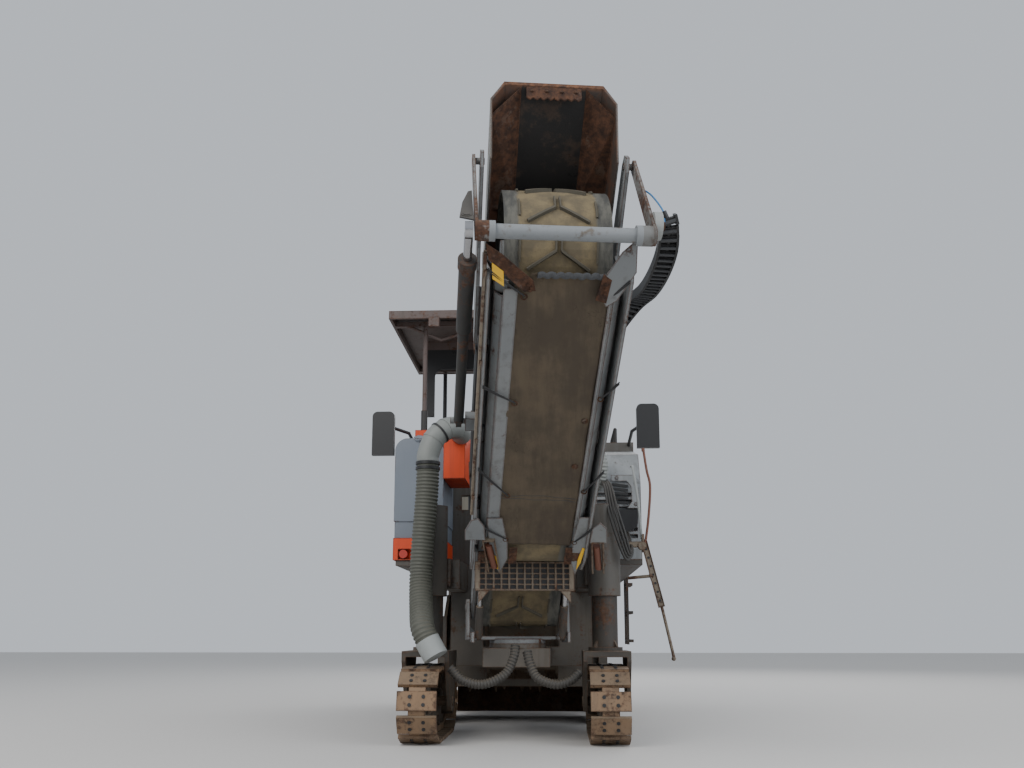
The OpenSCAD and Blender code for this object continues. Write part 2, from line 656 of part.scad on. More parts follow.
module seat() color([0.15, 0.15, 0.15]) place() for (x = [-480, 480]) translate([x, 1900, floor_z]) {
    cylinder(r = 60, h = 360);
    translate([-150, -140, 0]) cube([300, 300, 20]);
    translate([-230, -240, 355]) cube([460, 460, 110]);
    translate([-220, 170, 420]) rotate([-12, 0, 0]) cube([440, 90, 480]);
}

module bar(r, a, b) {
    d = b - a;
    len = norm(d);
    translate(a) rotate([0, acos(d[2] / len), atan2(d[1], d[0])]) cylinder(r = r, h = len);
}
module path(r, pts) {
    for (i = [0 : len(pts) - 2]) bar(r, pts[i], pts[i + 1]);
    for (p = pts) translate(p) sphere(r + 0.6);
}

post_y1 = 1000;
post_y2 = 2480;
post_x1 = -840;
post_x2 = 640;
post_top = 2600;
post_r = 20;
hood_x = -940;
hood_w = 373;
band_z = 1425;
canopy_drop = 600;

// rails, canopy post tubes, ladder
module handrails() color([0.13, 0.13, 0.13]) place() {
    for (s = [-1, 1]) path(17, [[s * (body_x - 90), 1860, floor_z + 18], [s * (body_x - 90), 1860, floor_z + 950],
                               [s * (body_x - 90), 2400, floor_z + 950], [s * (body_x - 90), 2400, floor_z + 18]]);
    for (x = [post_x1, post_x2]) for (y = [post_y1, post_y2]) translate([x, y, floor_z]) difference() {
        union() {
            cylinder(r = post_r + 8, h = post_top - floor_z);
            translate([-60, -60, 0]) cube([120, 120, 16]);
        }
        translate([0, 0, 30]) cylinder(r = post_r + fit, h = 1200);
    }
    for (s = [-1, 1]) {
        for (y = [2100, 2420]) translate([s > 0 ? body_x : -body_x - 20, y, 620]) cube([20, 30, 1010]);
        for (z = [640, 900, 1160, 1420]) translate([s > 0 ? body_x : -body_x - 60, 2100, z]) cube([60, 350, 26]);
    }
}

// roof that sinks on its four posts
module canopy() color([0.50, 0.42, 0.38]) place() {
    back = 760 + canopy_l;
    left = -144 - canopy_w / 2;
    difference() {
        translate([left, 760, canopy_z - 70]) cube([canopy_w, canopy_l, 70]);
        translate([left + 25, 785, canopy_z - 90]) cube([canopy_w - 50, canopy_l - 50, 78]);
    }
    for (y = [post_y1 - 30, post_y2 - 30]) translate([left + 24, y, canopy_z - 70]) cube([canopy_w - 48, 60, 40]);
    for (x = [post_x1, post_x2]) for (y = [post_y1, post_y2])
        translate([x, y, floor_z + 36 + canopy_drop])
            cylinder(r = post_r, h = canopy_z - 96 - floor_z - canopy_drop);
    translate([0, 1650, 0]) rotate([90, 0, 0]) linear_extrude(30) difference() {
        translate([post_x1 - 93, 2690]) square([post_x2 - post_x1 + 186, canopy_z - 11 - 2690]);
        translate([post_x1 + 4, 2680]) square([post_x2 - post_x1 - 8, canopy_z - 347 - 2680]);
        translate([post_x1 + 74, canopy_z - 347]) circle(70);
        translate([post_x2 - 74, canopy_z - 347]) circle(70);
        translate([post_x1 + 74, canopy_z - 348]) square([post_x2 - post_x1 - 148, 71]);
    }
    translate([-780, 730, canopy_z - 150]) cube([90, 50, 84]);
    path(14, [[-1000, 1000, canopy_z - 60], [-700, 1000, canopy_z - 190], [-300, 1000, canopy_z - 60]]);
}

module mirror_head(x, z, s) {
    translate([x - mirror_w / 2, 150, z - mirror_h / 2]) rounded_block([mirror_w, 46, mirror_h], 40);
    path(13, [[x, 176, z + 20], [x - s * 40, 260, 2300], [s * 890, 500, 2300], [s * 890, 886, 2265]]);
}
module mirrors() color([0.08, 0.08, 0.08]) place() {
    mirror_head(-1035, 2230, -1);
    mirror_head(985, 2270, 1);
}

// sighting arm beside the left front crawler
module pointer_arm() color([0.42, 0.30, 0.24]) place() {
    translate([905, -20, 1300]) cube([16, 60, 130]);
    translate([744.2, -20, 1335]) cube([170, 40, 40]);
    path(11, [[912, 0, 1390], [1040, -10, 880], [1108, -10, 560]]);
    path(8, [[925, 0, 1330], [960, -20, 1120], [1040, -10, 880]]);
    translate([1108, -10, 545]) sphere(16);
}

module exhaust() color([0.35, 0.30, 0.27]) place() {
    translate([-520, 2715, hood_z + 0.3]) cylinder(r = 55, h = 420);
    translate([-520, 2715, hood_z + 0.3]) cylinder(r = 72, h = 14);
    translate([-520, 2715, hood_z + 400]) rotate([-50, 0, 0]) cylinder(r = 54, h = 150);
}

module lamps() color([0.75, 0.20, 0.12]) place() {
    for (x = [-860, -768]) translate([x, 199.7, 1305]) rotate([90, 0, 0]) cylinder(r = 32, h = 60);
    for (s = [-1, 1]) translate([s * 800 - 60, beam_back - 44, 809.7]) cube([120, 44, 90]);
}

lid_y = 2800;
hinge_r = 11;
hinge_up = 12;
hinge_back = 3;

// corrugated suction duct: segmented elbow at the front panel, hose down past the right front column, cuff
duct_elbow = [[-430, 139.7, 2215], [-448, -70, 2215], [-512, -172, 2190], [-592, -212, 2110], [-634, -220, 1990]];
duct_hose = [[-634, -220, 1930], [-640, -220, 1700], [-664, -226, 1300], [-668, -240, 1080], [-652, -320, 890],
             [-628, -415, 760]];
duct_cuff = [[-634, -392, 792], [-560, -452, 615]];
module suction_duct() color([0.45, 0.45, 0.44]) place() {
    r = duct_d / 2;
    path(r, duct_elbow);
    bar(r + 6, duct_elbow[4] + [-1, 0, 24], duct_hose[0] + [1, 0, -17]);
    path(r - 3, duct_hose);
    bar(r + 7, duct_cuff[0], duct_cuff[1]);
}

module engine_bay() color([0.60, 0.58, 0.52]) place() {
    y0 = 2640;
    y1 = 3960;
    z0 = beam_top + 0.3;
    t = 30;
    for (z = [279.4, 540.3]) translate([body_x, 2786, beam_top + z]) cube([20, 25, 20.3]);
    difference() {
        union() {
            translate([-body_x, y0, z0]) cube([2 * body_x, y1 - y0, hood_z - z0 - 52.3]);
            translate([-body_x, y0, z0]) cube([2 * body_x, lid_y - 6 - y0, hood_z - z0]);
        }
        translate([-body_x + t, y0 + t, z0 + t]) cube([2 * body_x - 2 * t, y1 - y0 - 2 * t, hood_z - z0 - 2 * t]);
        for (i = [0 : 13]) translate([-600, y1 - t - 10, z0 + 120 + i * 56]) cube([1200, t + 20, 30]);
        translate([body_x - t - 10, 2800, z0 + 120]) cube([t + 20, 700, 620]);
        for (i = [0 : 7]) translate([-body_x - 10, 2850, z0 + 160 + i * 60]) cube([t + 20, 560, 26]);
    }
}

module engine_block() color([0.35, 0.35, 0.35]) place() translate([-350, 2800, beam_top + 30.6]) cube([700, 950, 780]);

module engine_lid() color([0.62, 0.60, 0.54]) place() {
    difference() {
        translate([-body_x, lid_y, hood_z - 52]) cube([2 * body_x, 3970 - lid_y, 52]);
        translate([-body_x + 30, lid_y + 30, hood_z - 62]) cube([2 * body_x - 60, 3910 - lid_y, 38]);
    }
    for (x = [-600, 0, 600]) translate([x, lid_y - hinge_back, hood_z + hinge_up]) {
        across(hinge_r, 80);
        translate([-40, 0, -hinge_up - 1]) cube([80, 50, 6]);
    }
}

module service_door() color([0.62, 0.60, 0.54]) place() {
    difference() {
        union() {
            translate([body_x - 25, 2812, beam_top + 128]) cube([24, 682, 608]);
            translate([body_x - 2, 2808, beam_top + 320]) cube([13, 40, 200]);
        }
        for (i = [0 : 5]) translate([body_x - 40, 2900, beam_top + 200 + i * 70]) cube([60, 500, 28]);
    }
    translate([body_x + 10, 2806, beam_top + 300]) cylinder(r = 9, h = 240);
}

main_frame();
drum_housing();
primary_conveyor();
tank_hood();
lamp_frame();
side_hood();
platform();
console();
seat();
handrails();
mirrors();
pointer_arm();
exhaust();
lamps();
suction_duct();
engine_bay();
engine_block();
engine_lid();
service_door();
crawler_frame_fl();
crawler_frame_fr();
crawler_frame_rl();
crawler_frame_rr();
track_fl();
track_fr();
track_rl();
track_rr();
milling_drum();
side_plate_left();
side_plate_right();
scraper();
slew_yoke();
lift_barrels();
lift_rods();
lower_frame();
tunnel_cover();
lower_belt();
tail_guard();
fold_lever();
fold_barrel();
fold_rod();
front_frame();
front_belt();
belt_cover();
canopy();
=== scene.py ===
# %% [markdown]
# # A parked cold planer
# This script dresses the solids of the milling machine with worn paint, rust, dust, rubber and canvas.
# Every shape here sits in the same frame as the solids: metres, forward is -Y, up is +Z.

# %% Load the frame
import json
import math
import bpy
from mathutils import Matrix, Vector


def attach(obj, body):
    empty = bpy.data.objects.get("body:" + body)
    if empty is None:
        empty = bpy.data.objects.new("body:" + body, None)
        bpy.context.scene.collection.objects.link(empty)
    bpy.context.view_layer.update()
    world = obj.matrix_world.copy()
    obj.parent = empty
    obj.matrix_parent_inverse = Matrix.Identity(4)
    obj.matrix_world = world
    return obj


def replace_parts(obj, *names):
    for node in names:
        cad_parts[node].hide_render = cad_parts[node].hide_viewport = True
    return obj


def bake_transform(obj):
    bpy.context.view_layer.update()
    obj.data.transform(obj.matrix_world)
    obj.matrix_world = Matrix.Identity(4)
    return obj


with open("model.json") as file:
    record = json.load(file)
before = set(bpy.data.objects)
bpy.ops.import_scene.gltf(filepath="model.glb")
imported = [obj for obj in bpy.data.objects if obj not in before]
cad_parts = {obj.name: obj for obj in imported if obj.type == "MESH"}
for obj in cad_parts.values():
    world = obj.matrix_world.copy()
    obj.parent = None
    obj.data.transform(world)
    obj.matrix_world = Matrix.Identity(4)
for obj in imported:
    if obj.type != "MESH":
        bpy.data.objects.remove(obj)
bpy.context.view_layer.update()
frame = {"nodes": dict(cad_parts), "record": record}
nodes = frame["nodes"]
scene = bpy.context.scene

# %% [markdown]
# ## Shader groups
# Paint, rust and dust come back on nearly every piece of the machine. They could be built anew in each
# material, but as node groups with named sockets one fix reaches them all. A group only hands out masks,
# colours, roughness values and heights. The shader stays in the material.

# %% Sums and products of patterns
def new_group(name, inputs, outputs):
    """A shader group with float or colour sockets, given as (name, kind, default)."""
    g = bpy.data.node_groups.new(name, "ShaderNodeTree")
    kinds = {"f": "NodeSocketFloat", "c": "NodeSocketColor"}
    for label, kind, default in inputs:
        s = g.interface.new_socket(name=label, in_out="INPUT", socket_type=kinds[kind])
        s.default_value = default
    for label, kind in outputs:
        g.interface.new_socket(name=label, in_out="OUTPUT", socket_type=kinds[kind])
    return g, g.nodes.new("NodeGroupInput"), g.nodes.new("NodeGroupOutput")


def feed(g, socket, value):
    """Links a socket to another node's output, or sets a plain value on the socket itself."""
    if hasattr(value, "links"):
        g.links.new(value, socket)
    else:
        socket.default_value = value


def math_node(g, op, a, b=None):
    n = g.nodes.new("ShaderNodeMath")
    n.operation = op
    feed(g, n.inputs[0], a)
    if b is not None:
        feed(g, n.inputs[1], b)
    return n.outputs[0]


def plus(g, total, *terms):
    for term in terms:
        total = math_node(g, "ADD", total, term)
    return total


def times(g, total, *factors):
    for factor in factors:
        total = math_node(g, "MULTIPLY", total, factor)
    return total


def weighted(g, *pairs):
    """Patterns added up, each times its own weight."""
    return plus(g, *(times(g, pattern, weight) for pattern, weight in pairs))


print("helpers for shader maths are ready")

# %% [markdown]
# ### Noise, steps and blends
# Chips, runs and stains have no straight border. Each comes from a noise in object space, which keeps its
# size in metres on every piece, cut by a smooth step. Stretching the noise along Z turns spots into runs.

# %% Noise, smooth step and colour blend
def mix_colour(g, factor, a, b):
    n = g.nodes.new("ShaderNodeMix")
    n.data_type = "RGBA"
    for socket, value in ((n.inputs[0], factor), (n.inputs[6], a), (n.inputs[7], b)):
        feed(g, socket, value)
    return n.outputs[2]


def noise(g, scale, detail=4.0, rough=0.6, stretch=None):
    """Object-space noise; stretch squeezes the pattern along one axis."""
    n = g.nodes.new("ShaderNodeTexNoise")
    n.inputs["Detail"].default_value = detail
    n.inputs["Roughness"].default_value = rough
    feed(g, n.inputs["Scale"], scale)
    place = g.nodes.new("ShaderNodeTexCoord").outputs["Object"]
    if stretch:
        m = g.nodes.new("ShaderNodeMapping")
        m.inputs["Scale"].default_value = stretch
        g.links.new(place, m.inputs["Vector"])
        place = m.outputs["Vector"]
    g.links.new(place, n.inputs["Vector"])
    return n.outputs[0]


def ramp(g, value, low, high):
    """A smooth step from low to high."""
    n = g.nodes.new("ShaderNodeMapRange")
    n.interpolation_type = "SMOOTHSTEP"
    n.inputs["From Min"].default_value = low
    n.inputs["From Max"].default_value = high
    g.links.new(value, n.inputs["Value"])
    return n.outputs["Result"]


def below(g, value, limit):
    return math_node(g, "LESS_THAN", value, limit)


print("noise, steps and blends are ready")

# %% [markdown]
# ### Edge wear
# Paint wears off at edges first. The edge could be painted by hand, but the mask here compares the true
# normal with a bevelled one: where they differ, there is an edge. Noise breaks the line up, as paint chips
# in patches.

# %% Edge wear group
def build_edge_wear():
    g, gi, go = new_group("edge wear",
                          [("Width", "f", 0.012), ("Amount", "f", 0.6), ("Patch size", "f", 9.0)],
                          [("Mask", "f")])
    bevel = g.nodes.new("ShaderNodeBevel")
    bevel.samples = 4
    g.links.new(gi.outputs["Width"], bevel.inputs["Radius"])
    geo = g.nodes.new("ShaderNodeNewGeometry")
    dot = g.nodes.new("ShaderNodeVectorMath")
    dot.operation = "DOT_PRODUCT"
    g.links.new(bevel.outputs["Normal"], dot.inputs[0])
    g.links.new(geo.outputs["Normal"], dot.inputs[1])
    edge = ramp(g, math_node(g, "SUBTRACT", 1.0, dot.outputs["Value"]), 0.01, 0.12)
    broken = noise(g, gi.outputs["Patch size"], 6.0, 0.7)
    lift = times(g, edge, gi.outputs["Amount"])
    g.links.new(ramp(g, plus(g, broken, lift), 0.62, 0.80), go.inputs["Mask"])
    return g


EDGE = build_edge_wear()
print("group:", EDGE.name)

# %% [markdown]
# ### Rust
# Rust on this machine is dark brown in spots, with runs below them. Three noises are weighed together: a
# broad one says where, a stretched one makes the runs, and a fine one frays the border. Worn edges rust
# sooner.

# %% Rust group
def build_rust():
    g, gi, go = new_group("rust",
                          [("Amount", "f", 0.3), ("Scale", "f", 5.0), ("Edge", "f", 0.0)],
                          [("Mask", "f"), ("Color", "c"), ("Height", "f")])
    region = noise(g, gi.outputs["Scale"], 4.0, 0.6)
    speck = noise(g, 46.0, 8.0, 0.75)
    run = noise(g, 13.0, 5.0, 0.6, stretch=(1.0, 1.0, 0.10))
    lifted = weighted(g, (region, 0.45), (run, 0.20), (speck, 0.35),
                      (gi.outputs["Amount"], 0.26), (gi.outputs["Edge"], 0.20))
    tone = noise(g, 24.0, 6.0, 0.75)
    colour = mix_colour(g, ramp(g, tone, 0.32, 0.68), (0.026, 0.013, 0.009, 1), (0.108, 0.047, 0.024, 1))
    g.links.new(ramp(g, lifted, 0.60, 0.68), go.inputs["Mask"])
    g.links.new(colour, go.inputs["Color"])
    g.links.new(tone, go.inputs["Height"])
    return g


RUST = build_rust()
print("group:", RUST.name)

# %% [markdown]
# ### Dust
# Milled road dust lies on faces that look up, near the ground and in broad soft patches. The face's own
# normal and its height above the floor say how much, so a new piece gets its dust without any further work.

# %% Dust group
def build_dust():
    g, gi, go = new_group("dust",
                          [("Amount", "f", 0.4), ("Low", "f", 0.0), ("High", "f", 1.4)],
                          [("Mask", "f"), ("Color", "c")])
    geo = g.nodes.new("ShaderNodeNewGeometry")
    facing = g.nodes.new("ShaderNodeSeparateXYZ")
    g.links.new(geo.outputs["Normal"], facing.inputs[0])
    place = g.nodes.new("ShaderNodeSeparateXYZ")
    g.links.new(geo.outputs["Position"], place.inputs[0])
    low = g.nodes.new("ShaderNodeMapRange")
    g.links.new(place.outputs["Z"], low.inputs["Value"])
    g.links.new(gi.outputs["Low"], low.inputs["From Min"])
    g.links.new(gi.outputs["High"], low.inputs["From Max"])
    low.inputs["To Min"].default_value = 1.0
    low.inputs["To Max"].default_value = 0.0
    up = ramp(g, facing.outputs["Z"], 0.2, 0.95)
    patch = noise(g, 3.1, 7.0, 0.62)
    fine = noise(g, 60.0, 3.0, 0.6)
    base = weighted(g, (up, 0.55), (low.outputs[0], 0.5), (patch, 0.5), (fine, 0.16))
    g.links.new(ramp(g, times(g, base, gi.outputs["Amount"]), 0.10, 0.75), go.inputs["Mask"])
    colour = mix_colour(g, patch, (0.120, 0.088, 0.058, 1), (0.235, 0.185, 0.128, 1))
    g.links.new(colour, go.inputs["Color"])
    return g


DUST = build_dust()
print("group:", DUST.name)

# %% [markdown]
# ### Weather
# Old paint has faded in broad areas and carries dark rain streaks. A flat colour goes in, and a weathered
# colour, its roughness and a fine grain come out.

# %% Weather group
def build_weather():
    g, gi, go = new_group("weather",
                          [("Color", "c", (0.5, 0.5, 0.5, 1)), ("Fade", "f", 0.5), ("Streaks", "f", 0.5)],
                          [("Color", "c"), ("Roughness", "f"), ("Height", "f")])
    wide = noise(g, 1.7, 5.0, 0.55)
    streak = noise(g, 16.0, 4.0, 0.65, stretch=(1.0, 1.0, 0.06))
    fine = noise(g, 140.0, 2.0, 0.5)
    fade = times(g, ramp(g, wide, 0.35, 0.75), gi.outputs["Fade"])
    faded = mix_colour(g, fade, gi.outputs["Color"], (0.30, 0.295, 0.28, 1))
    wet = times(g, ramp(g, streak, 0.48, 0.72), gi.outputs["Streaks"])
    g.links.new(mix_colour(g, wet, faded, (0.050, 0.040, 0.030, 1)), go.inputs["Color"])
    g.links.new(plus(g, 0.42, times(g, wide, 0.4)), go.inputs["Roughness"])
    g.links.new(fine, go.inputs["Height"])
    return g


WEATHER = build_weather()
print("group:", WEATHER.name)

# %% [markdown]
# ## Materials
# One recipe lays the coats in the order they got there: paint, weather, rust on the worn edges, dust on
# top. Rubber, plastic, glass and plated rods don't rust, so they have a shorter recipe of their own.

# %% Recipe for painted and bare steel
def use(mat, group, **values):
    n = mat.node_tree.nodes.new("ShaderNodeGroup")
    n.node_tree = group
    for label, value in values.items():
        feed(mat.node_tree, n.inputs[label], value)
    return n


def new_material(name):
    mat = bpy.data.materials.new(name)
    mat.use_nodes = True
    return mat, mat.node_tree, mat.node_tree.nodes["Principled BSDF"]


def bump(tree, height, strength=0.25, distance=0.002):
    n = tree.nodes.new("ShaderNodeBump")
    n.inputs["Strength"].default_value = strength
    n.inputs["Distance"].default_value = distance
    tree.links.new(height, n.inputs["Height"])
    return n.outputs["Normal"]


def painted(name, colour, rust=0.3, dust=0.4, fade=0.4, streaks=0.4, edge=0.6, metallic=0.0,
            dust_high=1.6, rust_scale=5.0):
    mat, tree, bsdf = new_material(name)
    w = use(mat, WEATHER, Color=colour, Fade=fade, Streaks=streaks)
    e = use(mat, EDGE, Amount=edge)
    r = use(mat, RUST, Amount=rust, Scale=rust_scale, Edge=e.outputs["Mask"])
    d = use(mat, DUST, Amount=dust, High=dust_high)
    rusty = mix_colour(tree, r.outputs["Mask"], w.outputs["Color"], r.outputs["Color"])
    dusty = mix_colour(tree, d.outputs["Mask"], rusty, d.outputs["Color"])
    tree.links.new(dusty, bsdf.inputs["Base Color"])
    rough = math_node(tree, "MAXIMUM", w.outputs["Roughness"], times(tree, r.outputs["Mask"], 0.9))
    rough = math_node(tree, "MAXIMUM", rough, times(tree, d.outputs["Mask"], 0.95))
    tree.links.new(rough, bsdf.inputs["Roughness"])
    bare = times(tree, math_node(tree, "SUBTRACT", 1.0, d.outputs["Mask"]), metallic)
    tree.links.new(bare, bsdf.inputs["Metallic"])
    height = plus(tree, w.outputs["Height"], times(tree, r.outputs["Height"], 0.8))
    tree.links.new(bump(tree, height), bsdf.inputs["Normal"])
    return mat


print("recipe for steel is ready")

# %% Recipe for rubber, plastic and cloth
def plain(name, colour, roughness=0.6, metallic=0.0, dust=0.3, coat=0.0, grain=0.2, grain_scale=90.0):
    """One colour with dust and a little grain."""
    mat, tree, bsdf = new_material(name)
    d = use(mat, DUST, Amount=dust)
    grainy = noise(tree, grain_scale, 4.0, 0.6)
    paler = tuple(min(1.0, c * 1.9 + 0.02) for c in colour[:3]) + (1,)
    varied = mix_colour(tree, times(tree, grainy, grain), colour, paler)
    tree.links.new(mix_colour(tree, d.outputs["Mask"], varied, d.outputs["Color"]), bsdf.inputs["Base Color"])
    rough = math_node(tree, "MAXIMUM", roughness, times(tree, d.outputs["Mask"], 0.9))
    tree.links.new(rough, bsdf.inputs["Roughness"])
    bsdf.inputs["Metallic"].default_value = metallic
    bsdf.inputs["Coat Weight"].default_value = coat
    tree.links.new(bump(tree, grainy, 0.12, 0.001), bsdf.inputs["Normal"])
    return mat


print("recipe for rubber and plastic is ready")

# %% [markdown]
# ### The palette
# Colours are read off: chalky greys on the conveyor, a blue-grey tank hood, dull orange under it,
# brown dust over everything near the ground. Paints and steels come first, then rubber, plastic and cloth.

# %% Palette of paints and steels
finishes = {
    "frame_paint": painted("frame paint", (0.070, 0.066, 0.060, 1), rust=0.30, dust=0.45, fade=0.12,
                           streaks=0.6),
    "hood_paint": painted("hood paint", (0.150, 0.180, 0.225, 1), rust=0.0, dust=0.16, fade=0.2, streaks=0.2,
                          edge=0.2),
    "pale_paint": painted("pale paint", (0.25, 0.265, 0.275, 1), rust=0.12, dust=0.25, fade=0.3, streaks=0.3),
    "cream_paint": painted("cream paint", (0.26, 0.245, 0.205, 1), rust=0.2, dust=0.3, fade=0.3),
    "orange_paint": painted("orange paint", (0.66, 0.062, 0.010, 1), rust=0.08, dust=0.12, fade=0.02,
                            streaks=0.2),
    "grey_paint": painted("conveyor paint", (0.165, 0.175, 0.180, 1), rust=0.16, dust=0.25, fade=0.3,
                          streaks=0.35, edge=1.25),
    "canopy_paint": painted("canopy paint", (0.085, 0.060, 0.054, 1), rust=0.3, dust=0.15, fade=0.15),
    "black_paint": painted("black paint", (0.018, 0.018, 0.018, 1), rust=0.35, dust=0.45, fade=0.06,
                           streaks=0.1),
    "rusty_steel": painted("rusty steel", (0.085, 0.048, 0.030, 1), rust=0.80, dust=0.35, fade=0.1,
                           metallic=0.1),
    "worn_steel": painted("worn steel", (0.12, 0.095, 0.075, 1), rust=0.7, dust=0.6, fade=0.1, metallic=0.5),
    "track_steel": painted("track steel", (0.230, 0.135, 0.070, 1), rust=0.42, dust=0.45, fade=0.1,
                           metallic=0.2, edge=0.3, dust_high=0.8, rust_scale=9.0),
    "tan_steel": painted("dusty steel", (0.175, 0.140, 0.100, 1), rust=0.42, dust=0.35, fade=0.1, edge=0.8),
    "engine_iron": painted("engine iron", (0.05, 0.05, 0.05, 1), rust=0.4, dust=0.4, fade=0.1),
    "dusty_dark": painted("dusty dark paint", (0.05, 0.045, 0.04, 1), rust=0.4, dust=0.6, fade=0.1),
}
print("paints and steels:", len(finishes))

# %% Palette of rubber, plastic and cloth
finishes.update({
    "chrome_rod": plain("plated rod", (0.42, 0.42, 0.43, 1), roughness=0.22, metallic=1.0, dust=0.2,
                        grain=0.05),
    "belt_rubber": plain("belt rubber", (0.022, 0.021, 0.019, 1), roughness=0.8, dust=1.0, grain=0.5),
    "duct_rubber": plain("duct rubber", (0.072, 0.074, 0.060, 1), roughness=0.6, dust=0.25),
    "pale_duct": plain("pale duct", (0.190, 0.200, 0.190, 1), roughness=0.55, dust=0.15),
    "seat_vinyl": plain("seat vinyl", (0.015, 0.015, 0.016, 1), roughness=0.5, dust=0.2),
    "black_plastic": plain("black plastic", (0.012, 0.012, 0.013, 1), roughness=0.45, dust=0.12),
    "red_lens": plain("red lens", (0.42, 0.03, 0.012, 1), roughness=0.2, dust=0.1, coat=0.6),
    "canvas": plain("canvas", (0.062, 0.046, 0.032, 1), roughness=0.92, dust=0.25, grain=0.5,
                    grain_scale=150.0),
    "yellow_plate": plain("yellow plate", (0.75, 0.42, 0.02, 1), roughness=0.5, dust=0.12, grain=0.1),
    "white_plastic": plain("white plastic", (0.27, 0.285, 0.28, 1), roughness=0.5, dust=0.15, grain=0.1),
    "guard_rubber": plain("guard rubber", (0.034, 0.033, 0.031, 1), roughness=0.55, dust=0.32),
    "roll_cloth": plain("rolled cloth", (0.046, 0.048, 0.052, 1), roughness=0.8, dust=0.15, grain=0.4),
    # Belt bars are darker than the belt: painted shade along the bars.
    "belt_bar": plain("shaded belt bar", (0.062, 0.055, 0.040, 1), roughness=0.85, dust=0.35, grain=0.4),
    "guide_roller": plain("guide roller", (0.135, 0.050, 0.030, 1), roughness=0.6, dust=0.2),
    "blue_cable": plain("blue cable", (0.03, 0.16, 0.36, 1), roughness=0.5, dust=0.1, grain=0.1),
})
slot_of = {s["node"]: s["material_slot"] for s in frame["record"]["subparts"]}


def dress(node, mat):
    """Puts one material on a solid, in place of what it had."""
    nodes[node].data.materials.clear()
    nodes[node].data.materials.append(mat)


for node in nodes:
    dress(node, finishes[slot_of[node]])
print("materials:", len(finishes), "on", len(nodes), "solids")

# %% [markdown]
# ## Working frames
# The conveyor is slewed a little to the machine's left and its rear section leans at 44.5 degrees. These
# matrices turn sizes taken along each section into the shared frame: in the frame of the rear section -Y
# runs up the belt and Z stands off its rail line, and in the folded section's frame -Z looks at the camera.

# %% Frames of the conveyor sections
LEAN = 44.5
PLACE = Matrix.Translation((0, -0.613515, 0))
SLEWED = PLACE @ Matrix.Rotation(math.radians(7.5), 4, "Z")
LOWER = SLEWED @ Matrix.Translation((0, 0, 0.9)) @ Matrix.Rotation(math.radians(-LEAN), 4, "X")
FRONT = LOWER @ Matrix.Translation((0, -2.731, -0.132)) @ Matrix.Rotation(math.radians(6.6), 4, "X")
GUARD = LOWER @ Matrix.Translation((0, -0.535, -0.250)) @ Matrix.Rotation(math.radians(LEAN), 4, "X")
WORLD = Matrix.Identity(4)
print("fold pin at", tuple(round(c, 3) for c in FRONT.to_translation()))

# %% [markdown]
# ## Small building tools
# Bolts, plates, pipes and hoses come by the hundred. A Blender object for each would be slow to rig and to
# export, so solids of one finish on one body are gathered in a list and become one mesh at the end.


def circle(count):
    """Unit vectors of a circle, as (cosine, sine) pairs."""
    return [(math.cos(2 * math.pi * k / count), math.sin(2 * math.pi * k / count)) for k in range(count)]


def bands(rows, count, closed=False):
    """Four-sided faces between rows of points, each row a ring of count points."""
    pairs = [(i, i + 1) for i in range(rows - 1)] + ([(rows - 1, 0)] if closed else [])
    return [(i * count + k, i * count + (k + 1) % count, j * count + (k + 1) % count, j * count + k)
            for i, j in pairs for k in range(count)]


def mesh_object(name, verts, faces, smooth, finish):
    mesh = bpy.data.meshes.new(name)
    mesh.from_pydata(verts, [], faces)
    mesh.polygons.foreach_set("use_smooth", smooth)
    mesh.validate()
    mesh.materials.append(finishes[finish])
    obj = bpy.data.objects.new(name, mesh)
    scene.collection.objects.link(obj)
    return obj


